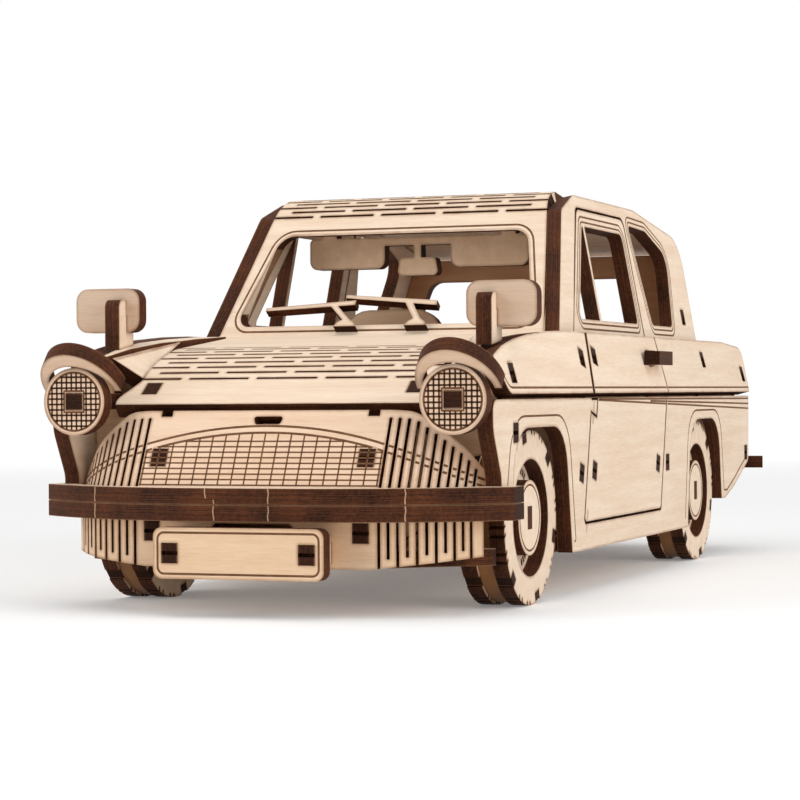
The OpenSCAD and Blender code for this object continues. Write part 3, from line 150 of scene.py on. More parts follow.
def addFloor():
    half = floorKit["half"]
    low = cadBox[0][2]
    data = bpy.data.meshes.new("floor")
    corners = [(-half, -half, low), (half, -half, low), (half, half, low), (-half, half, low)]
    data.from_pydata(corners, [], [(0, 1, 2, 3)])
    floor = bpy.data.objects.new("floor", data)
    bpy.context.scene.collection.objects.link(floor)
    mat = bpy.data.materials.new("floorPaper")
    mat.use_nodes = True
    tree = mat.node_tree
    tree.nodes.clear()
    out = tree.nodes.new("ShaderNodeOutputMaterial")
    paper = tree.nodes.new("ShaderNodeBsdfDiffuse")
    paper.inputs["Color"].default_value = floorKit["colour"]
    lift = tree.nodes.new("ShaderNodeEmission")  # seen by the pale rays alone
    pale = paleRays(tree)
    both = tree.nodes.new("ShaderNodeAddShader")
    plain = tree.nodes.new("ShaderNodeEmission")  # white, far from the car
    coord = tree.nodes.new("ShaderNodeTexCoord")
    far = tree.nodes.new("ShaderNodeVectorMath")
    far.operation = "LENGTH"
    ramp = tree.nodes.new("ShaderNodeMapRange")
    ramp.inputs["From Min"].default_value = floorKit["plainFrom"]
    ramp.inputs["From Max"].default_value = floorKit["plainTo"]
    mix = tree.nodes.new("ShaderNodeMixShader")
    link = tree.links.new
    link(maths(tree, "MULTIPLY", pale, floorKit["lift"]), lift.inputs["Strength"])
    link(paper.outputs[0], both.inputs[0])
    link(lift.outputs[0], both.inputs[1])
    link(coord.outputs["Object"], far.inputs[0])
    link(far.outputs["Value"], ramp.inputs["Value"])
    link(maths(tree, "MULTIPLY", ramp.outputs[0], pale), mix.inputs["Fac"])
    link(both.outputs[0], mix.inputs[1])
    link(plain.outputs[0], mix.inputs[2])
    link(mix.outputs[0], out.inputs["Surface"])
    data.materials.append(mat)


addFloor()
print("studio ready")


# shader groups shared by the wood finishes
def newGroup(name, ins, outs):
    group = bpy.data.node_groups.new(name, "ShaderNodeTree")
    for label, kind, value in ins:
        sock = group.interface.new_socket(label, in_out="INPUT", socket_type=kind)
        if value is not None:
            sock.default_value = value
    for label, kind in outs:
        group.interface.new_socket(label, in_out="OUTPUT", socket_type=kind)
    return group, group.nodes.new("NodeGroupInput"), group.nodes.new("NodeGroupOutput")


def addNode(tree, kind, **settings):
    node = tree.nodes.new(kind)
    for key, value in settings.items():
        if hasattr(node, key):
            setattr(node, key, value)
        else:
            node.inputs[key.replace("_", " ")].default_value = value
    return node


def addNoise(tree, numbers, **settings):
    scale, detail, rough = numbers
    return addNode(tree, "ShaderNodeTexNoise", **settings, Scale=scale, Detail=detail, Roughness=rough)


def blendColours(tree, fac, a, b):
    node = tree.nodes.new("ShaderNodeMix")
    node.data_type = "RGBA"
    for place, value in ((0, fac), (6, a), (7, b)):  # a Mix node's factor and colours
        feed(tree, node.inputs[place], value)
    return node.outputs[2]


# the finishes tint the veneer: outside is the plain wood, while inside, shaded, the warm tint and the back
# tint are painted shade, darker and warmer wood where the pieces lie in shade
veneer = {"pale": (0.885, 0.720, 0.560, 1), "deep": (0.700, 0.485, 0.320, 1), "along": 4.5, "across": 70.0,
          "gloss": 0.3, "bump": (0.12, 0.0002), "tone": 0.97, "toneStep": 0.015, "shiftStep": 3.1, "tones": 5,
          "firstWeight": 3, "outside": (1, 1, 1), "inside": (0.97, 0.86, 0.74), "backShade": (0.68, 0.48, 0.34),
          "shaded": (0.84, 0.78, 0.75), "warmShade": (0.99, 0.91, 0.86)}
grain = {"fibre": {"noise": (60.0, 4.0, 0.6), "from": 0.36, "to": 0.7, "share": 0.34},
         "figure": {"noise": (7.0, 2.0, 0.5), "from": 0.34, "to": 0.68, "share": 0.36},
         "pores": {"noise": (130.0, 1.0, 0.4), "from": 0.66, "to": 0.78, "share": 0.3},
         "dull": 0.56, "dullRange": 0.14}


def birchGrain():
    group, take, give = newGroup("birchGrain", [
        ("Grain Vector", "NodeSocketVector", None), ("Pale", "NodeSocketColor", veneer["pale"]),
        ("Deep", "NodeSocketColor", veneer["deep"]), ("Shift", "NodeSocketFloat", 0.0)],
        [("Color", "NodeSocketColor"), ("Roughness", "NodeSocketFloat"), ("Height", "NodeSocketFloat")])
    link = group.links.new
    moved = addNode(group, "ShaderNodeVectorMath", operation="ADD")
    joined = addNode(group, "ShaderNodeCombineXYZ")
    for axis in "XYZ":
        link(take.outputs["Shift"], joined.inputs[axis])
    link(take.outputs["Grain Vector"], moved.inputs[0])
    link(joined.outputs[0], moved.inputs[1])
    amount = 0.0
    for layer in ("fibre", "figure", "pores"):
        kit = grain[layer]
        tex = addNoise(group, kit["noise"])
        band = addNode(group, "ShaderNodeMapRange", From_Min=kit["from"], From_Max=kit["to"])
        link(moved.outputs[0], tex.inputs["Vector"])
        link(tex.outputs["Fac"], band.inputs["Value"])
        amount = maths(group, "ADD", amount, maths(group, "MULTIPLY", band.outputs[0], kit["share"]))
    dull = maths(group, "ADD", maths(group, "MULTIPLY", amount, grain["dullRange"]), grain["dull"])
    link(blendColours(group, amount, take.outputs["Pale"], take.outputs["Deep"]), give.inputs["Color"])
    link(dull, give.inputs["Roughness"])
    link(maths(group, "SUBTRACT", 1.0, amount), give.inputs["Height"])
    return group


# a cut edge: depth runs from 0 at one face of the sheet to 1 at the other
cut = {"char": (0.010, 0.004, 0.002, 1), "brown": (0.136, 0.043, 0.0175, 1), "rim": (0.33, 0.18, 0.095, 1),
       "glueAt": 0.165, "glueHalf": 0.045, "glueDark": 0.35, "rimFrom": 0.44, "rimTo": 0.5, "rimLeast": 0.2,
       "rimRange": 0.6, "beam": (1500.0, 2.0, 0.6), "cloud": (120.0, 3.0, 0.55), "streak": (9.0, 3.0, 0.65),
       "wander": 0.35, "from": 0.32, "to": 0.68,
       "shares": (0.55, 0.35, 0.28), "gain": 1.25, "lower": 0.22, "dull": 0.58, "dullRange": 0.2,
       "gloss": 0.1, "bump": (0.25, 0.0001), "tabGain": 0.42}


def burntCut():
    group, take, give = newGroup("burntCut", [
        ("Vector", "NodeSocketVector", None), ("Depth", "NodeSocketFloat", 0.5),
        ("Char", "NodeSocketColor", cut["char"]), ("Brown", "NodeSocketColor", cut["brown"]),
        ("Rim", "NodeSocketColor", cut["rim"])],
        [("Color", "NodeSocketColor"), ("Roughness", "NodeSocketFloat"), ("Height", "NodeSocketFloat")])
    link = group.links.new
    depth = take.outputs["Depth"]
    offMiddle = maths(group, "ABSOLUTE", maths(group, "SUBTRACT", depth, 0.5))  # 0.5 at a face
    glue = addNode(group, "ShaderNodeMapRange", From_Min=cut["glueHalf"], From_Max=0.0)
    link(maths(group, "ABSOLUTE", maths(group, "SUBTRACT", offMiddle, cut["glueAt"])), glue.inputs["Value"])
    rim = addNode(group, "ShaderNodeMapRange", From_Min=cut["rimFrom"], From_Max=cut["rimTo"])
    link(offMiddle, rim.inputs["Value"])
    beam = addNoise(group, cut["beam"])  # marks of the cut
    cloud = addNoise(group, cut["cloud"])
    link(take.outputs["Vector"], beam.inputs["Vector"])
    link(take.outputs["Vector"], cloud.inputs["Vector"])
    streak = addNoise(group, cut["streak"], noise_dimensions="1D")
    wander = maths(group, "MULTIPLY", cloud.outputs["Fac"], cut["wander"])
    link(maths(group, "ADD", depth, wander), streak.inputs["W"])
    parts = 0.0
    for tex, share in zip((streak, cloud, beam), cut["shares"]):
        wide = addNode(group, "ShaderNodeMapRange", From_Min=cut["from"], From_Max=cut["to"])
        link(tex.outputs["Fac"], wide.inputs["Value"])
        parts = maths(group, "ADD", parts, maths(group, "MULTIPLY", wide.outputs[0], share))
    tone = maths(group, "SUBTRACT", maths(group, "MULTIPLY", parts, cut["gain"]),
                 maths(group, "MULTIPLY", glue.outputs[0], cut["glueDark"]))
    clip = addNode(group, "ShaderNodeClamp")
    link(maths(group, "SUBTRACT", tone, cut["lower"]), clip.inputs["Value"])
    burnt = blendColours(group, clip.outputs[0], take.outputs["Char"], take.outputs["Brown"])
    rimShare = maths(group, "ADD", maths(group, "MULTIPLY", parts, cut["rimRange"]), cut["rimLeast"])
    rimAmount = maths(group, "MULTIPLY", rim.outputs[0], rimShare)
    dull = maths(group, "ADD", maths(group, "MULTIPLY", clip.outputs[0], cut["dullRange"]), cut["dull"])
    link(blendColours(group, rimAmount, burnt, take.outputs["Rim"]), give.inputs["Color"])
    link(dull, give.inputs["Roughness"])
    link(parts, give.inputs["Height"])
    return group


grainGroup = birchGrain()
cutGroup = burntCut()


def newMaterial(name):
    mat = bpy.data.materials.new(name)
    mat.use_nodes = True
    tree = mat.node_tree
    return mat, tree, tree.nodes["Principled BSDF"]


def plugGroup(tree, shader, placed, bumpStrength, bumpDistance):
    tree.links.new(placed.outputs["Color"], shader.inputs["Base Color"])
    tree.links.new(placed.outputs["Roughness"], shader.inputs["Roughness"])
    bump = tree.nodes.new("ShaderNodeBump")
    bump.inputs["Strength"].default_value = bumpStrength
    bump.inputs["Distance"].default_value = bumpDistance
    tree.links.new(placed.outputs["Height"], bump.inputs["Height"])
    tree.links.new(bump.outputs["Normal"], shader.inputs["Normal"])


def veneerMaterial(name, axis, pale, deep, shift=0.0):
    mat, tree, shader = newMaterial(name)
    shader.inputs["Specular IOR Level"].default_value = veneer["gloss"]
    coord = tree.nodes.new("ShaderNodeTexCoord")
    mapping = tree.nodes.new("ShaderNodeMapping")
    mapping.inputs["Scale"].default_value = [veneer["along" if axis == a else "across"] for a in "XYZ"]
    placed = tree.nodes.new("ShaderNodeGroup")
    placed.node_tree = grainGroup
    placed.inputs["Pale"].default_value = pale
    placed.inputs["Deep"].default_value = deep
    placed.inputs["Shift"].default_value = shift
    tree.links.new(coord.outputs["Object"], mapping.inputs["Vector"])
    tree.links.new(mapping.outputs["Vector"], placed.inputs["Grain Vector"])
    plugGroup(tree, shader, placed, *veneer["bump"])
    scorchCuts(tree, shader, placed, coord)
    return mat


scorch = {"colour": (0.300, 0.140, 0.062, 1), "reach": 0.0006, "rays": 6, "open": 0.98, "shut": 0.55,
          "cloud": (170.0, 3.0, 0.6), "from": 0.3, "to": 0.65, "least": 0.35, "most": 0.85}


def scorchCuts(tree, shader, placed, coord):
    near = tree.nodes.new("ShaderNodeAmbientOcclusion")  # how near a cut the surface lies
    near.inside = True
    near.only_local = True
    near.samples = scorch["rays"]
    near.inputs["Distance"].default_value = scorch["reach"]
    halo = addNode(tree, "ShaderNodeMapRange", From_Min=scorch["open"], From_Max=scorch["shut"])
    cloud = addNoise(tree, scorch["cloud"])
    patch = addNode(tree, "ShaderNodeMapRange", From_Min=scorch["from"], From_Max=scorch["to"],
                    To_Min=scorch["least"], To_Max=scorch["most"])
    tree.links.new(near.outputs["AO"], halo.inputs["Value"])
    tree.links.new(coord.outputs["Object"], cloud.inputs["Vector"])
    tree.links.new(cloud.outputs["Fac"], patch.inputs["Value"])
    amount = maths(tree, "MULTIPLY", halo.outputs[0], patch.outputs[0])
    burnt = blendColours(tree, amount, placed.outputs["Color"], scorch["colour"])
    tree.links.new(burnt, shader.inputs["Base Color"])


def cutMaterial(name, gain=1.0):
    mat, tree, shader = newMaterial(name)
    shader.inputs["Specular IOR Level"].default_value = cut["gloss"]
    coord = tree.nodes.new("ShaderNodeTexCoord")
    depth = tree.nodes.new("ShaderNodeAttribute")
    depth.attribute_name = "plyDepth"
    placed = tree.nodes.new("ShaderNodeGroup")
    placed.node_tree = cutGroup
    for key in ("Char", "Brown"):
        placed.inputs[key].default_value = [c * gain for c in placed.inputs[key].default_value[:3]] + [1]
    tree.links.new(coord.outputs["Object"], placed.inputs["Vector"])
    tree.links.new(depth.outputs["Fac"], placed.inputs["Depth"])
    plugGroup(tree, shader, placed, *cut["bump"])
    return mat


cutEdge = cutMaterial("burntEdge")
charredTab = cutMaterial("charredTab", cut["tabGain"])
veneers = {}


def veneerFor(node, axis, finish):
    pair = node.replace("_right", "_left")  # a pair of sheets has one tone
    letters = enumerate(pair, veneer["firstWeight"])
    tone = sum(ord(c) * i for i, c in letters) % veneer["tones"]
    key = (axis, tone, finish)
    if key not in veneers:
        gain = veneer["tone"] + veneer["toneStep"] * tone
        # the finish's tint: plain wood outside, painted shade for every other finish
        tint = [gain * w for w in veneer[finish]]
        pale, deep = ([c * t for c, t in zip(veneer[k], tint)] + [1] for k in ("pale", "deep"))
        name = "veneer" + axis + str(tone) + finish.capitalize()
        veneers[key] = veneerMaterial(name, axis, pale, deep, veneer["shiftStep"] * tone)
    return veneers[key]


# which triangles are sheet faces and which are cut edges, lengths in mm and areas in mm2
sheet = {"bent": ("windscreen_roof", "rear_window_panel", "grille_panel", "valance", "bonnet", "boot_lid",
                  "wing_tops"),
         # painted shade: the pieces listed under inside get a darker, warmer veneer tint that stands in for
         # the shade inside the car and at the foot of the nose
         "inside": ("visor_strip", "dashboard", "front_seats", "steering_wheel", "seat_bulkhead",
                    "rear_bulkhead", "front_bulkhead", "firewall", "chassis_floor", "axle_bearers",
                    "headlight_carriers", "number_plate", "valance"),
         # painted shade: the mirror heads and the grille, headlights and brows get darker, warmer tints that
         # stand in for shade and warm bounce light
         "shaded": ("mirror_heads",), "warmShade": ("grille_panel", "headlights", "brows"),
         # painted shade: the rear window panel's face that looks forward into the cabin gets a darker tint
         "backShade": {"rear_window_panel": (0, -1, 0)}, "backShadeTurn": 0.5,
         "thick": 3.0, "near": 0.2, "probeLength": 20.0, "skin": 0.02, "weld": 0.002, "parallel": 0.97,
         "samePlane": 0.999, "tries": 40, "digits": 5, "fineDigits": 6,
         "shareDigits": 2, "normalDigits": 3, "levelDigits": 2,
         "tabArea": 2.5, "tabSpan": 7.5, "curved": (0.8, 0.9999),
         "pegSpan": 8.0, "pegAlong": np.array((0.0, 0.0, 1.0)), "outward": np.array((0, -0.4, 0.9)),
         "probes": [(0.34, 0.33, 0.33), (0.8, 0.1, 0.1), (0.1, 0.8, 0.1), (0.1, 0.1, 0.8), (0.48, 0.48, 0.04),
                    (0.04, 0.48, 0.48), (0.48, 0.04, 0.48)],
         "round": ("front_axle", "rear_axle", "hinge_pins"),
         "rubber": ("front_bands", "rear_bands"),
         "grainY": ("lower_side", "upper_", "cabin_side", "door_", "axle_bearers", "chassis", "wing_tops",
                    "visor")}
tiny = 1e-6  # keeps a probe off its own triangle and a divisor off zero
nothing = 1e-18  # below any triangle's area


def spotKey(spot, digits):
    return tuple(np.round(spot, digits))


def islandsOf(co, tris):  # triangles that hang together
    key = np.round(co / (sheet["weld"] * mm)).astype(np.int64)
    uniq, index = np.unique(key, axis=0, return_inverse=True)
    index = index.ravel()
    parent = list(range(len(uniq)))

    def root(i):
        while parent[i] != i:
            parent[i] = parent[parent[i]]
            i = parent[i]
        return i
    for a, b, c in index[tris]:
        ra, rb, rc = root(a), root(b), root(c)
        parent[rb] = ra
        parent[rc] = ra
    return np.array([root(index[t[0]]) for t in tris])


def sortBent(co, tris, normal):  # probes through the sheet vote for a face
    isFace = np.zeros(len(tris), bool)
    tree = BVHTree.FromPolygons([tuple(v) for v in co], [tuple(int(i) for i in t) for t in tris])
    for i, corners in enumerate(co[tris]):
        inwards = -Vector(normal[i])
        votes = 0
        for weights in sheet["probes"]:
            spot = Vector(sum(w * corner for w, corner in zip(weights, corners)))
            hit = tree.ray_cast(spot + inwards * tiny, inwards, sheet["probeLength"] * mm)
            if hit[0] is not None and hit[1].dot(inwards) > sheet["parallel"]:  # the other side lies parallel
                votes += 1 if abs(hit[3] / mm - sheet["thick"]) < sheet["near"] else -1
        isFace[i] = votes > 0
    outer = {}
    for i in np.where(isFace)[0]:
        for k in tris[i]:
            outer[spotKey(co[k], sheet["fineDigits"])] = float(normal[i] @ sheet["outward"] > 0)
    return isFace, np.array([outer.get(spotKey(v, sheet["fineDigits"]), 0.5) for v in co])


def plateAxis(corners, normal, area):  # the way across a plate, in which its corners lie in two skins
    best = None
    for i in np.argsort(-area)[:sheet["tries"]]:
        level = corners @ normal[i]
        low, high = level.min(), level.max()
        inSkin = np.mean((level - low < sheet["skin"] * mm) | (high - level < sheet["skin"] * mm))
        isThick = abs((high - low) / mm - sheet["thick"]) < sheet["near"]
        total = area[np.abs(normal @ normal[i]) > sheet["samePlane"]].sum()
        score = (round(inSkin, sheet["shareDigits"]), isThick, total)
        if best is None or score > best[0]:
            best = (score, normal[i])
    return best[1]


def sortFlat(node, co, tris, normal, area):
    isFace = np.zeros(len(tris), bool)
    depth = np.full(len(co), 0.5)
    island = islandsOf(co, tris)
    for root in np.unique(island):
        pick = np.where(island == root)[0]
        corner = np.unique(tris[pick])
        along = plateAxis(co[corner], normal[pick], area[pick])
        if node.endswith("_tyre_rings") and np.ptp(co[corner], axis=0)[1:].max() / mm < sheet["pegSpan"]:
            along = sheet["pegAlong"]  # a peg shows its cut ends at the tyre's side
        isFace[pick] = np.abs(normal[pick] @ along) > sheet["parallel"]
        level = co[corner] @ along
        low, high = level.min(), level.max()
        depth[corner] = (level - low) / max(high - low, tiny)
    return isFace, depth


def sortSheet(node):
    mesh = nodes[node].data
    co = np.empty(len(mesh.vertices) * 3)
    mesh.vertices.foreach_get("co", co)
    co = co.reshape(-1, 3)
    tris = np.array([p.vertices[:3] for p in mesh.polygons])
    a, b, c = co[tris[:, 0]], co[tris[:, 1]], co[tris[:, 2]]
    cross = np.cross(b - a, c - a)
    double = np.linalg.norm(cross, axis=1)
    normal = cross / np.maximum(double, nothing)[:, None]
    area = double / 2 / mm ** 2
    if node in sheet["bent"]:
        isFace, depth = sortBent(co, tris, normal)
    else:
        isFace, depth = sortFlat(node, co, tris, normal, area)
    return isFace, depth, tabEnds(co, tris, normal, area, isFace)


def tabEnds(co, tris, normal, area, isFace):  # small flat patches of cut edge
    level = np.einsum("ij,ij->i", normal, co[tris[:, 0]])
    small = np.zeros(len(tris), bool)
    planes, meets = {}, {}
    for i in np.where(~isFace)[0]:
        plane = (*spotKey(normal[i], sheet["normalDigits"]), round(level[i] / mm, sheet["levelDigits"]))
        planes.setdefault(plane, []).append(i)
        for k in tris[i]:
            meets.setdefault(spotKey(co[k], sheet["digits"]), []).append(i)
    for members in planes.values():
        members = np.array(members)
        if area[members].sum() < sheet["tabArea"]:
            continue
        corners = np.unique(tris[members])
        patch = islandsOf(co[corners], np.searchsorted(corners, tris[members]))
        for root in np.unique(patch):
            pick = members[patch == root]
            corners = co[np.unique(tris[pick])]
            around = [j for v in corners for j in meets[spotKey(v, sheet["digits"])]]
            turn = np.abs(normal[around] @ normal[pick[0]])
            isCurved = np.any((turn > sheet["curved"][0]) & (turn < sheet["curved"][1]))  # a rounded rim
            span = np.ptp(corners, axis=0).max() / mm
            small[pick] = not isCurved and area[pick].sum() > sheet["tabArea"] and span < sheet["tabSpan"]
    return small


def backFaces(mesh, way):
    normals = np.empty(len(mesh.polygons) * 3)
    mesh.polygons.foreach_get("normal", normals)
    return normals.reshape(-1, 3) @ np.array(way) > sheet["backShadeTurn"]


def dressSheet(node):
    mesh = nodes[node].data
    isFace, depth, isTab = sortSheet(node)
    axis = "Y" if node.startswith(sheet["grainY"]) else "X"
    # painted shade: every finish but outside tints the veneer darker and warmer where the piece lies in shade
    finish = next((f for f in ("inside", "shaded", "warmShade") if node in sheet[f]), "outside")
    finishes = [veneerFor(node, axis, finish), cutEdge, charredTab]
    picks = np.where(isFace, 0, np.where(isTab, 2, 1))
    if node in sheet["backShade"]:  # painted shade: the face of the sheet that looks forward into the cabin gets a darker veneer tint
        finishes.append(veneerFor(node, axis, "backShade"))
        picks[isFace & backFaces(mesh, sheet["backShade"][node])] = 3
    mesh.materials.clear()
    for mat in finishes:
        mesh.materials.append(mat)
    mesh.polygons.foreach_set("material_index", picks.astype(np.int32))
    layer = mesh.attributes.new("plyDepth", "FLOAT", "POINT")
    layer.data.foreach_set("value", depth.astype(np.float32))
    mesh.update()


dowelKit = {"pale": (0.62, 0.46, 0.31, 1), "deep": (0.45, 0.31, 0.20, 1)}
bandKit = {"amber": (0.24, 0.092, 0.020, 1), "dusty": (0.33, 0.155, 0.052, 1), "cloud": (320.0, 3.0, 0.6),
           "dull": (0.38, 0.62), "gloss": 0.4}
lineKit = {"engravedLine": ((0.085, 0.034, 0.015, 1), (0.26, 0.130, 0.065, 1)),
           "burntLine": ((0.035, 0.014, 0.007, 1), (0.13, 0.056, 0.027, 1)),
           "bareBridge": ((0.27, 0.14, 0.07, 1), (0.66, 0.46, 0.30, 1)),
           "cloud": (500.0, 2.0, 0.5), "dull": (0.6, 0.85), "gloss": 0.1}


def cloudMaterial(name, kit, deep, light):  # two colours blended by a fine cloud
    mat, tree, shader = newMaterial(name)
    shader.inputs["Specular IOR Level"].default_value = kit["gloss"]
    coord = tree.nodes.new("ShaderNodeTexCoord")
    cloud = addNoise(tree, kit["cloud"])
    dull = addNode(tree, "ShaderNodeMapRange", To_Min=kit["dull"][0], To_Max=kit["dull"][1])
    tree.links.new(coord.outputs["Object"], cloud.inputs["Vector"])
    tree.links.new(blendColours(tree, cloud.outputs["Fac"], deep, light), shader.inputs["Base Color"])
    tree.links.new(cloud.outputs["Fac"], dull.inputs["Value"])
    tree.links.new(dull.outputs[0], shader.inputs["Roughness"])
    return mat


dowelWood = veneerMaterial("dowelWood", "X", dowelKit["pale"], dowelKit["deep"])
amberRubber = cloudMaterial("amberRubber", bandKit, bandKit["amber"], bandKit["dusty"])
for nodeName in sorted(nodes):
    if nodeName in sheet["round"] + sheet["rubber"]:
        nodes[nodeName].data.materials.clear()
        nodes[nodeName].data.materials.append(amberRubber if nodeName in sheet["rubber"] else dowelWood)
    else:
        dressSheet(nodeName)
print("sheets dressed")


# engraved lines, laid on the sheets: outlines in mm as (a, b, corner radius), draped along one axis
engraved = {"wide": 0.4, "proud": 0.02, "sunk": 0.08, "step": 0.6, "fineStep": 0.2,
            "castFrom": 300, "castTo": 600, "steepest": 0.25, "sharpest": 0.3, "widest": 1.5, "longest": 2.5}


def roundOff(points, closed=True, steps=7):
    out = []
    n = len(points)
    for i, (x, y, *r) in enumerate(points):
        r = r[0] if r else 0
        if r == 0 or (not closed and i in (0, n - 1)):
            out.append(Vector((x, y)))
            continue
        here = Vector((x, y))
        back = (Vector(points[i - 1][:2]) - here).normalized()
        on = (Vector(points[(i + 1) % n][:2]) - here).normalized()
        half = back.angle(on) / 2
        centre = here + (back + on).normalized() * (r / math.sin(half))
        first = here + back * (r / math.tan(half)) - centre
        last = here + on * (r / math.tan(half)) - centre
        turn = math.atan2(first.cross(last), first.dot(last))
        for k in range(steps + 1):
            a = turn * k / steps
            out.append(centre + Vector((first.x * math.cos(a) - first.y * math.sin(a),
                                        first.x * math.sin(a) + first.y * math.cos(a))))
    return out


def outset(points, d):  # the outline moved outwards by d
    n = len(points)
    area = sum(points[i].cross(points[(i + 1) % n]) for i in range(n))
    way = 1 if area > 0 else -1
    out = []
    for i in range(n):
        a = (points[i] - points[i - 1]).normalized()
        b = (points[(i + 1) % n] - points[i]).normalized()
        na, nb = Vector((a.y, -a.x)), Vector((b.y, -b.x))
        out.append(points[i] + (na + nb) * (way * d / max(engraved["sharpest"], 1 + na.dot(nb))))
    return out


def ring(cx, cy, r, n=64):
    turns = [math.tau * k / n for k in range(n)]
    return [Vector((cx + r * math.cos(a), cy + r * math.sin(a))) for a in turns]


def fineSteps(points, closed, step):
    path = list(points) + ([points[0]] if closed else [])
    out = [path[0]]
    for a, b in zip(path, path[1:]):
        n = max(1, math.ceil((b - a).length / step))
        out += [a.lerp(b, k / n) for k in range(1, n + 1)]
    return out


castSides = {"left": (Vector((1, 0, 0)), lambda a, b: Vector((0, a, b))),
             "right": (Vector((-1, 0, 0)), lambda a, b: Vector((0, a, b))),
             "front": (Vector((0, -1, 0)), lambda a, b: Vector((a, 0, b))),
             "top": (Vector((0, 0, 1)), lambda a, b: Vector((a, b, 0)))}
sheetTrees = {}


def sheetTree(node):
    if node not in sheetTrees:
        mesh = nodes[node].data
        spots = [v.co for v in mesh.vertices]
        sheetTrees[node] = BVHTree.FromPolygons(spots, [p.vertices for p in mesh.polygons])
    return sheetTrees[node]


def drape(node, side, a, b):
    out, spot = castSides[side]
    start = (spot(a, b) + out * engraved["castFrom"]) * mm
    hit = sheetTree(node).ray_cast(start, -out, engraved["castTo"] * mm)
    if hit[0] is None or hit[1].dot(out) < engraved["steepest"]:
        return None
    return hit[0], hit[1]


def sweepRibbon(store, run, mirrored):  # a thin closed strip, turned round where its outline is mirrored
    verts, faces = store
    first = len(verts)
    for hits in run:
        for lift in (engraved["proud"], -engraved["sunk"]):
            verts += [spot + normal * lift * mm for spot, normal in hits]
    last = len(verts) - 4  # four corners in each row
    shell = [(first, first + 1, first + 3, first + 2), (last, last + 2, last + 3, last + 1)]
    for j in range(first, last, 4):
        k = j + 4
        shell += [(j, k, k + 1, j + 1), (j + 2, j + 3, k + 3, k + 2)]
        shell += [(j, j + 2, k + 2, k), (j + 1, k + 1, k + 3, j + 3)]
    faces += [face[::-1] for face in shell] if mirrored else shell


def engrave(store, node, side, points, closed=True, step=engraved["step"], wide=engraved["wide"]):
    half = wide / 2
    path = fineSteps(points, closed, step)
    runs = [[]]
    for i, p in enumerate(path):
        before = path[i - 1] if i else (path[-2] if closed else p)
        after = path[i + 1] if i + 1 < len(path) else (path[1] if closed else p)
        along = (after - before).normalized()
        across = Vector((along.y, -along.x)) * half
        hits = [drape(node, side, *(p + across * s)) for s in (1, -1)]
        onSheet = all(hits) and (hits[0][0] - hits[1][0]).length < engraved["widest"] * wide * mm
        last = runs[-1][-1][0][0] if runs[-1] else None
        if not onSheet or (last is not None and (hits[0][0] - last).length > engraved["longest"] * step * mm):
            runs.append([])
        if onSheet:
            runs[-1].append(hits)
    for run in runs:
        if len(run) > 1:
            sweepRibbon(store, run, side == "right")


engravedLine, burntLine, bareBridge = (
    cloudMaterial(name, lineKit, *lineKit[name]) for name in ("engravedLine", "burntLine", "bareBridge"))


def addPiece(name, body, verts, faces, material, slot="plywood"):
    data = bpy.data.meshes.new(name)
    data.from_pydata([tuple(v) for v in verts], [], faces)
    data.validate()
    data.materials.append(material)
    piece = bpy.data.objects.new(name, data)
    bpy.context.scene.collection.objects.link(piece)
    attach(piece, body)
    return piece


# the lines that the photograph shows, in mm
yFront, yRear = -70.3, 60.7  # the two axles
sideLines = {
    "flash": [[(-36, 38.0), (108, 37.5)], [(-36, 37.9), (108, 35.0)], [(10, 37.4), (108, 36.2)]],
    "arches": [[(yFront - 21.4, 20.5), (yFront - 17.7, 35.1, 9), (yFront + 17.7, 35.1, 9),
                (yFront + 22.2, 10.9), (yFront + 21.2, 10.5)],
               [(yRear - 19.9, 10.6), (yRear - 15.9, 35.0, 8.5), (yRear + 15.9, 35.0, 8.5),
                (yRear + 19.4, 15.6), (yRear + 22.5, 15.4, 2), (yRear + 30.6, 18.0, 3),
                (yRear + 45.4, 23.4)]],
    "belt": [(yFront - 21.6, 43.4), (yFront - 19.6, 40.3, 3), (112, 40.3)],
    "doorGlass": [(-25.0, 54.26, 1), (-10.7, 74, 1.5), (20.9, 74, 2), (20.9, 54.26, 1.2)],
    "quarterGlass": [(33.8, 54.26, 1.5), (27.9, 76.4, 1), (42.7, 76.0, 8), (58.7, 70.9, 4),
                     (52.1, 54.26, 2.5)],
    "trims": (0.9, 2.0)}
noseLines = {
    "almond": {"peaks": (33.7, 32.5), "bow": 0.0059, "droop": 2.5e-7, "half": 39.4, "points": 40},
    "screen": [(31.95, 53.3, 2.2), (27.0, 72.6, 3.6), (-27.0, 72.6, 3.6), (-31.95, 53.3, 2.2)],
    "screenTrim": 1.1, "lampX": 36.8, "lampZ": 38.3, "lampRing": 5.35, "lampSquare": (2.0, 1.95),
    "plate": [(-15.4, 7.8, 1.2), (15.4, 7.8, 1.2), (15.4, 15.1, 1.2), (-15.4, 15.1, 1.2)]}
wheelLines = {"ring": 6.1, "axleZ": 16.2}


def engraveSide(side):
    fixed, door = ([], []), ([], [])
    for line in sideLines["flash"] + sideLines["arches"]:
        path = roundOff(line, False)
        engrave(fixed, "lower_side_" + side, side, path, False)
        engrave(door, "door_lower_" + side, side, path, False)
    belt = roundOff(sideLines["belt"], False)
    for node in ("upper_front_", "upper_rear_"):
        engrave(fixed, node + side, side, belt, False)
    engrave(door, "door_upper_" + side, side, belt, False)
    for trim in sideLines["trims"]:
        engrave(door, "door_window_" + side, side, outset(roundOff(sideLines["doorGlass"]), trim))
        engrave(fixed, "cabin_side_" + side, side, outset(roundOff(sideLines["quarterGlass"]), trim))
    addPiece("side_lines_" + side, "body", *fixed, engravedLine)
    addPiece("door_lines_" + side, "door_" + side, *door, engravedLine)


def almondPath(peak):
    kit = noseLines["almond"]
    n = kit["points"]
    xs = [kit["half"] * k / n for k in range(-n, n + 1)]
    return [Vector((x, peak - kit["bow"] * x ** 2 - kit["droop"] * x ** 4)) for x in xs]


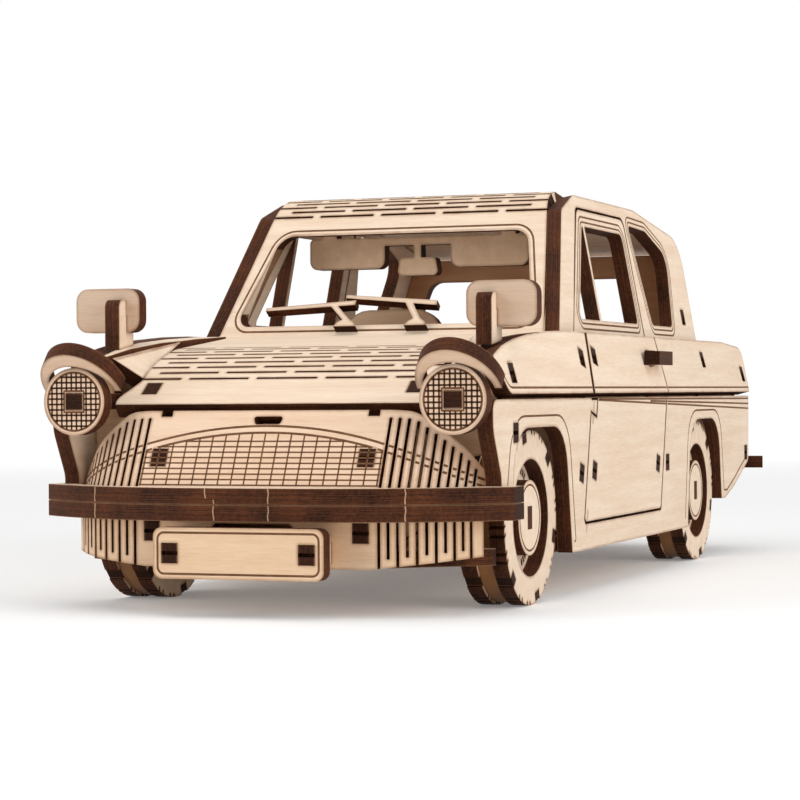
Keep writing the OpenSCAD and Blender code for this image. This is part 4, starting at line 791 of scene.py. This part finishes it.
def engraveNose():
    store = ([], [])
    for peak in noseLines["almond"]["peaks"]:
        engrave(store, "grille_panel", "front", almondPath(peak), False, engraved["fineStep"])
    screen = outset(roundOff(noseLines["screen"]), noseLines["screenTrim"])
    engrave(store, "windscreen_roof", "front", screen)
    engrave(store, "number_plate", "front", roundOff(noseLines["plate"]))
    z = noseLines["lampZ"]
    wide, tall = noseLines["lampSquare"]
    for x in (-noseLines["lampX"], noseLines["lampX"]):
        square = [(x - wide, z - tall), (x + wide, z - tall), (x + wide, z + tall), (x - wide, z + tall)]
        engrave(store, "headlights", "front", ring(x, z, noseLines["lampRing"]))
        engrave(store, "headlights", "front", roundOff(square))
    addPiece("nose_lines", "body", *store, engravedLine)


def engraveWheels():
    for end, y in (("front", yFront), ("rear", yRear)):
        store = ([], [])
        for side in ("left", "right"):
            engrave(store, end + "_hub_caps", side, ring(y, wheelLines["axleZ"], wheelLines["ring"]))
        addPiece("hub_lines_" + end, end + "_wheels", *store, engravedLine)


# cross-hatched lattices, each a Geometry Nodes tree that instances bars and trims them to its outline
lattices = {"lamp": {"Lines": 10, "Pitch": 1.0, "Radius": noseLines["lampRing"], "Keep Half": 2.0,
                     "Width": 0.34, "Depth": 0.1},
            "grille": {"Columns": 19, "Column Pitch": 2.55, "Rows": 9, "Row Pitch": 1.08, "Low": 2.0,
                       "High": 12.3, "Arch": 0.0067, "Half Width": 23.2, "Width": 0.3, "Depth": 0.1},
            "grilleFoot": (0, -104.6, 21.4), "grilleLean": 26.0}


def latticeTree(name, sizes):
    tree = bpy.data.node_groups.new(name, "GeometryNodeTree")
    for label, value in sizes.items():
        kind = "NodeSocketInt" if isinstance(value, int) else "NodeSocketFloat"
        tree.interface.new_socket(label, in_out="INPUT", socket_type=kind).default_value = value
    tree.interface.new_socket("Material", in_out="INPUT", socket_type="NodeSocketMaterial")
    tree.interface.new_socket("Geometry", in_out="OUTPUT", socket_type="NodeSocketGeometry")
    return tree, tree.nodes.new("NodeGroupInput").outputs, tree.nodes.new("NodeGroupOutput")


def vectorOf(tree, x=0.0, y=0.0, z=0.0):
    node = tree.nodes.new("ShaderNodeCombineXYZ")
    for sock, value in zip(node.inputs, (x, y, z)):
        feed(tree, sock, value)
    return node.outputs[0]


def barRow(tree, count, start, offset, shift, size, scale):
    link = tree.links.new
    line = tree.nodes.new("GeometryNodeMeshLine")
    move = tree.nodes.new("GeometryNodeSetPosition")
    bar = tree.nodes.new("GeometryNodeMeshCube")
    place = tree.nodes.new("GeometryNodeInstanceOnPoints")
    link(count, line.inputs["Count"])
    link(start, line.inputs["Start Location"])
    link(offset, line.inputs["Offset"])
    link(line.outputs[0], move.inputs["Geometry"])
    link(shift, move.inputs["Offset"])
    link(size, bar.inputs["Size"])
    link(move.outputs[0], place.inputs["Points"])
    link(bar.outputs["Mesh"], place.inputs["Instance"])
    link(scale, place.inputs["Scale"])
    return place.outputs[0]


def spotAlong(tree, axis):
    part = tree.nodes.new("ShaderNodeSeparateXYZ")
    tree.links.new(tree.nodes.new("GeometryNodeInputPosition").outputs[0], part.inputs[0])
    return part.outputs[axis]


def closeLattice(tree, give, rows, material):
    join = tree.nodes.new("GeometryNodeJoinGeometry")
    real = tree.nodes.new("GeometryNodeRealizeInstances")
    paint = tree.nodes.new("GeometryNodeSetMaterial")
    for row in rows:
        tree.links.new(row, join.inputs[0])
    tree.links.new(join.outputs[0], real.inputs[0])
    tree.links.new(real.outputs[0], paint.inputs["Geometry"])
    tree.links.new(material, paint.inputs["Material"])
    tree.links.new(paint.outputs[0], give.inputs[0])


def lampLattice():
    tree, take, give = latticeTree("lampLattice", lattices["lamp"])

    def work(how, a, b=None):
        return maths(tree, how, a, b)
    x = spotAlong(tree, 0)
    outer = work("SQRT", work("SUBTRACT", work("POWER", take["Radius"], 2.0), work("POWER", x, 2.0)))
    inner = work("MULTIPLY", work("LESS_THAN", work("ABSOLUTE", x), take["Keep Half"]), take["Keep Half"])
    middle = work("MULTIPLY", work("ADD", outer, inner), 0.5)
    span = work("MULTIPLY", work("SUBTRACT", take["Lines"], 1.0), take["Pitch"])
    start, offset = vectorOf(tree, work("MULTIPLY", span, -0.5)), vectorOf(tree, take["Pitch"])
    size = vectorOf(tree, take["Width"], take["Depth"], 1.0)
    scale = vectorOf(tree, 1.0, 1.0, work("SUBTRACT", outer, inner))
    upright = tree.nodes.new("GeometryNodeJoinGeometry")
    for up in (middle, work("MULTIPLY", middle, -1.0)):  # above and below the square
        row = barRow(tree, take["Lines"], start, offset, vectorOf(tree, 0.0, 0.0, up), size, scale)
        tree.links.new(row, upright.inputs[0])
    level = tree.nodes.new("GeometryNodeTransform")
    level.inputs["Rotation"].default_value = (0, math.pi / 2, 0)
    tree.links.new(upright.outputs[0], level.inputs["Geometry"])
    closeLattice(tree, give, (upright.outputs[0], level.outputs[0]), take["Material"])
    return tree


def grilleLattice():
    tree, take, give = latticeTree("grilleLattice", lattices["grille"])

    def work(how, a, b=None):
        return maths(tree, how, a, b)
    x, z = spotAlong(tree, 0), spotAlong(tree, 2)
    top = work("SUBTRACT", take["High"], work("MULTIPLY", take["Arch"], work("POWER", x, 2.0)))
    middle = work("MULTIPLY", work("ADD", top, take["Low"]), 0.5)
    span = work("MULTIPLY", work("SUBTRACT", take["Columns"], 1.0), take["Column Pitch"])
    upright = barRow(tree, take["Columns"], vectorOf(tree, work("MULTIPLY", span, -0.5)),
                     vectorOf(tree, take["Column Pitch"]), vectorOf(tree, 0.0, 0.0, middle),
                     vectorOf(tree, take["Width"], take["Depth"], 1.0),
                     vectorOf(tree, 1.0, 1.0, work("SUBTRACT", top, take["Low"])))
    reach = work("SQRT", work("DIVIDE", work("SUBTRACT", take["High"], z), take["Arch"]))
    half = work("MINIMUM", reach, take["Half Width"])
    level = barRow(tree, take["Rows"], vectorOf(tree, 0.0, 0.0, take["Low"]),
                   vectorOf(tree, 0.0, 0.0, take["Row Pitch"]), vectorOf(tree),
                   vectorOf(tree, 1.0, take["Depth"], take["Width"]),
                   vectorOf(tree, work("MULTIPLY", half, 2.0), 1.0, 1.0))
    closeLattice(tree, give, (upright, level), take["Material"])
    return tree


def growLattice(name, tree, numbers):
    seed = bpy.data.objects.new(name, bpy.data.meshes.new(name))
    bpy.context.scene.collection.objects.link(seed)
    grow = seed.modifiers.new("grow", "NODES")
    grow.node_group = tree
    for item in tree.interface.items_tree:
        if item.in_out == "INPUT" and item.name in numbers:
            grow[item.identifier] = numbers[item.name]
    shape = bpy.data.meshes.new_from_object(seed.evaluated_get(bpy.context.evaluated_depsgraph_get()))
    seed.modifiers.clear()
    bpy.data.objects.remove(seed)
    return shape


def mergeCopies(shape, places):
    verts, faces = [], []
    for place in places:
        first = len(verts)
        verts += [place @ v.co for v in shape.vertices]
        faces += [tuple(first + i for i in p.vertices) for p in shape.polygons]
    return verts, faces


def addLattices():
    scale = Matrix.Scale(mm, 4)
    sink = lattices["lamp"]["Depth"] / 2 - engraved["proud"]
    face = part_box("headlights")[0][1] / mm
    shape = growLattice("lampSeed", lampLattice(), dict(lattices["lamp"], Material=burntLine))
    places = [scale @ Matrix.Translation((x, face + sink, noseLines["lampZ"]))
              for x in (-noseLines["lampX"], noseLines["lampX"])]
    addPiece("lamp_lattices", "body", *mergeCopies(shape, places), burntLine)
    shape = growLattice("grilleSeed", grilleLattice(), dict(lattices["grille"], Material=engravedLine))
    lean = Matrix.Rotation(math.radians(-lattices["grilleLean"]), 4, "X")
    place = scale @ Matrix.Translation(lattices["grilleFoot"]) @ lean @ Matrix.Translation((0, sink, 0))
    addPiece("grille_lattice", "body", *mergeCopies(shape, [place]), engravedLine)


# bare wood where bridges held the pieces in their sheet, and the tab ends in the hub caps
bridges = {"bumper": [(-31.3, 17, 25), (-6.8, 21.1, 25), (-5.2, 17, 20.9), (5.3, 17, 25), (29.2, 17, 25)],
           "brows": [(-31.4, -104.8, -97), (41.5, -104.8, -97)],
           "wide": 0.22, "wander": 0.09, "bends": 2.3, "turn": 5, "points": 9}
hubTab = {"wide": 2.8, "tall": 4.3, "deep": 0.3, "proud": 0.03}
boxFaces = ((0, 4, 6, 2), (1, 3, 7, 5), (0, 1, 5, 4), (2, 6, 7, 3), (0, 2, 3, 1), (4, 5, 7, 6))


def brokenLine(x, low, high):
    spots = np.linspace(low, high, bridges["points"])
    bends = [math.sin(bridges["bends"] * z + bridges["turn"] * x) for z in spots]
    return [Vector((x + bridges["wander"] * bend, z)) for bend, z in zip(bends, spots)]


def addBridges():
    store = ([], [])
    for node, side, marks in (("front_bumper_plies", "front", "bumper"), ("brows", "top", "brows")):
        for mark in bridges[marks]:
            engrave(store, node, side, brokenLine(*mark), False, engraved["fineStep"], bridges["wide"])
    addPiece("bridge_marks", "body", *store, bareBridge)


def tabBox(x, way, y):  # corners run along x, then y, then z
    z = wheelLines["axleZ"]
    xs = sorted((x + way * hubTab["proud"], x - way * hubTab["deep"]))
    ys = (y - hubTab["wide"] / 2, y + hubTab["wide"] / 2)
    zs = (z - hubTab["tall"] / 2, z + hubTab["tall"] / 2)
    return [Vector((a, b, c)) * mm for c in zs for b in ys for a in xs]


def addHubTabs():
    for end, y in (("front", yFront), ("rear", yRear)):
        low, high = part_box(end + "_hub_caps")
        verts, faces, depth = [], [], []
        for x, way in ((low[0] / mm, -1), (high[0] / mm, 1)):
            first = len(verts)
            verts += tabBox(x, way, y)
            faces += [tuple(first + i for i in face) for face in boxFaces]
            depth += [0.0, 0.0, 1.0, 1.0] * 2  # the plies lie along y
        piece = addPiece("hub_tabs_" + end, end + "_wheels", verts, faces, cutEdge)
        piece.data.attributes.new("plyDepth", "FLOAT", "POINT").data.foreach_set("value", depth)


for sideName in ("left", "right"):
    engraveSide(sideName)
engraveNose()
engraveWheels()
print("lines engraved")
addLattices()
print("lattices grown")
addBridges()
addHubTabs()
print("marks and tab ends added")
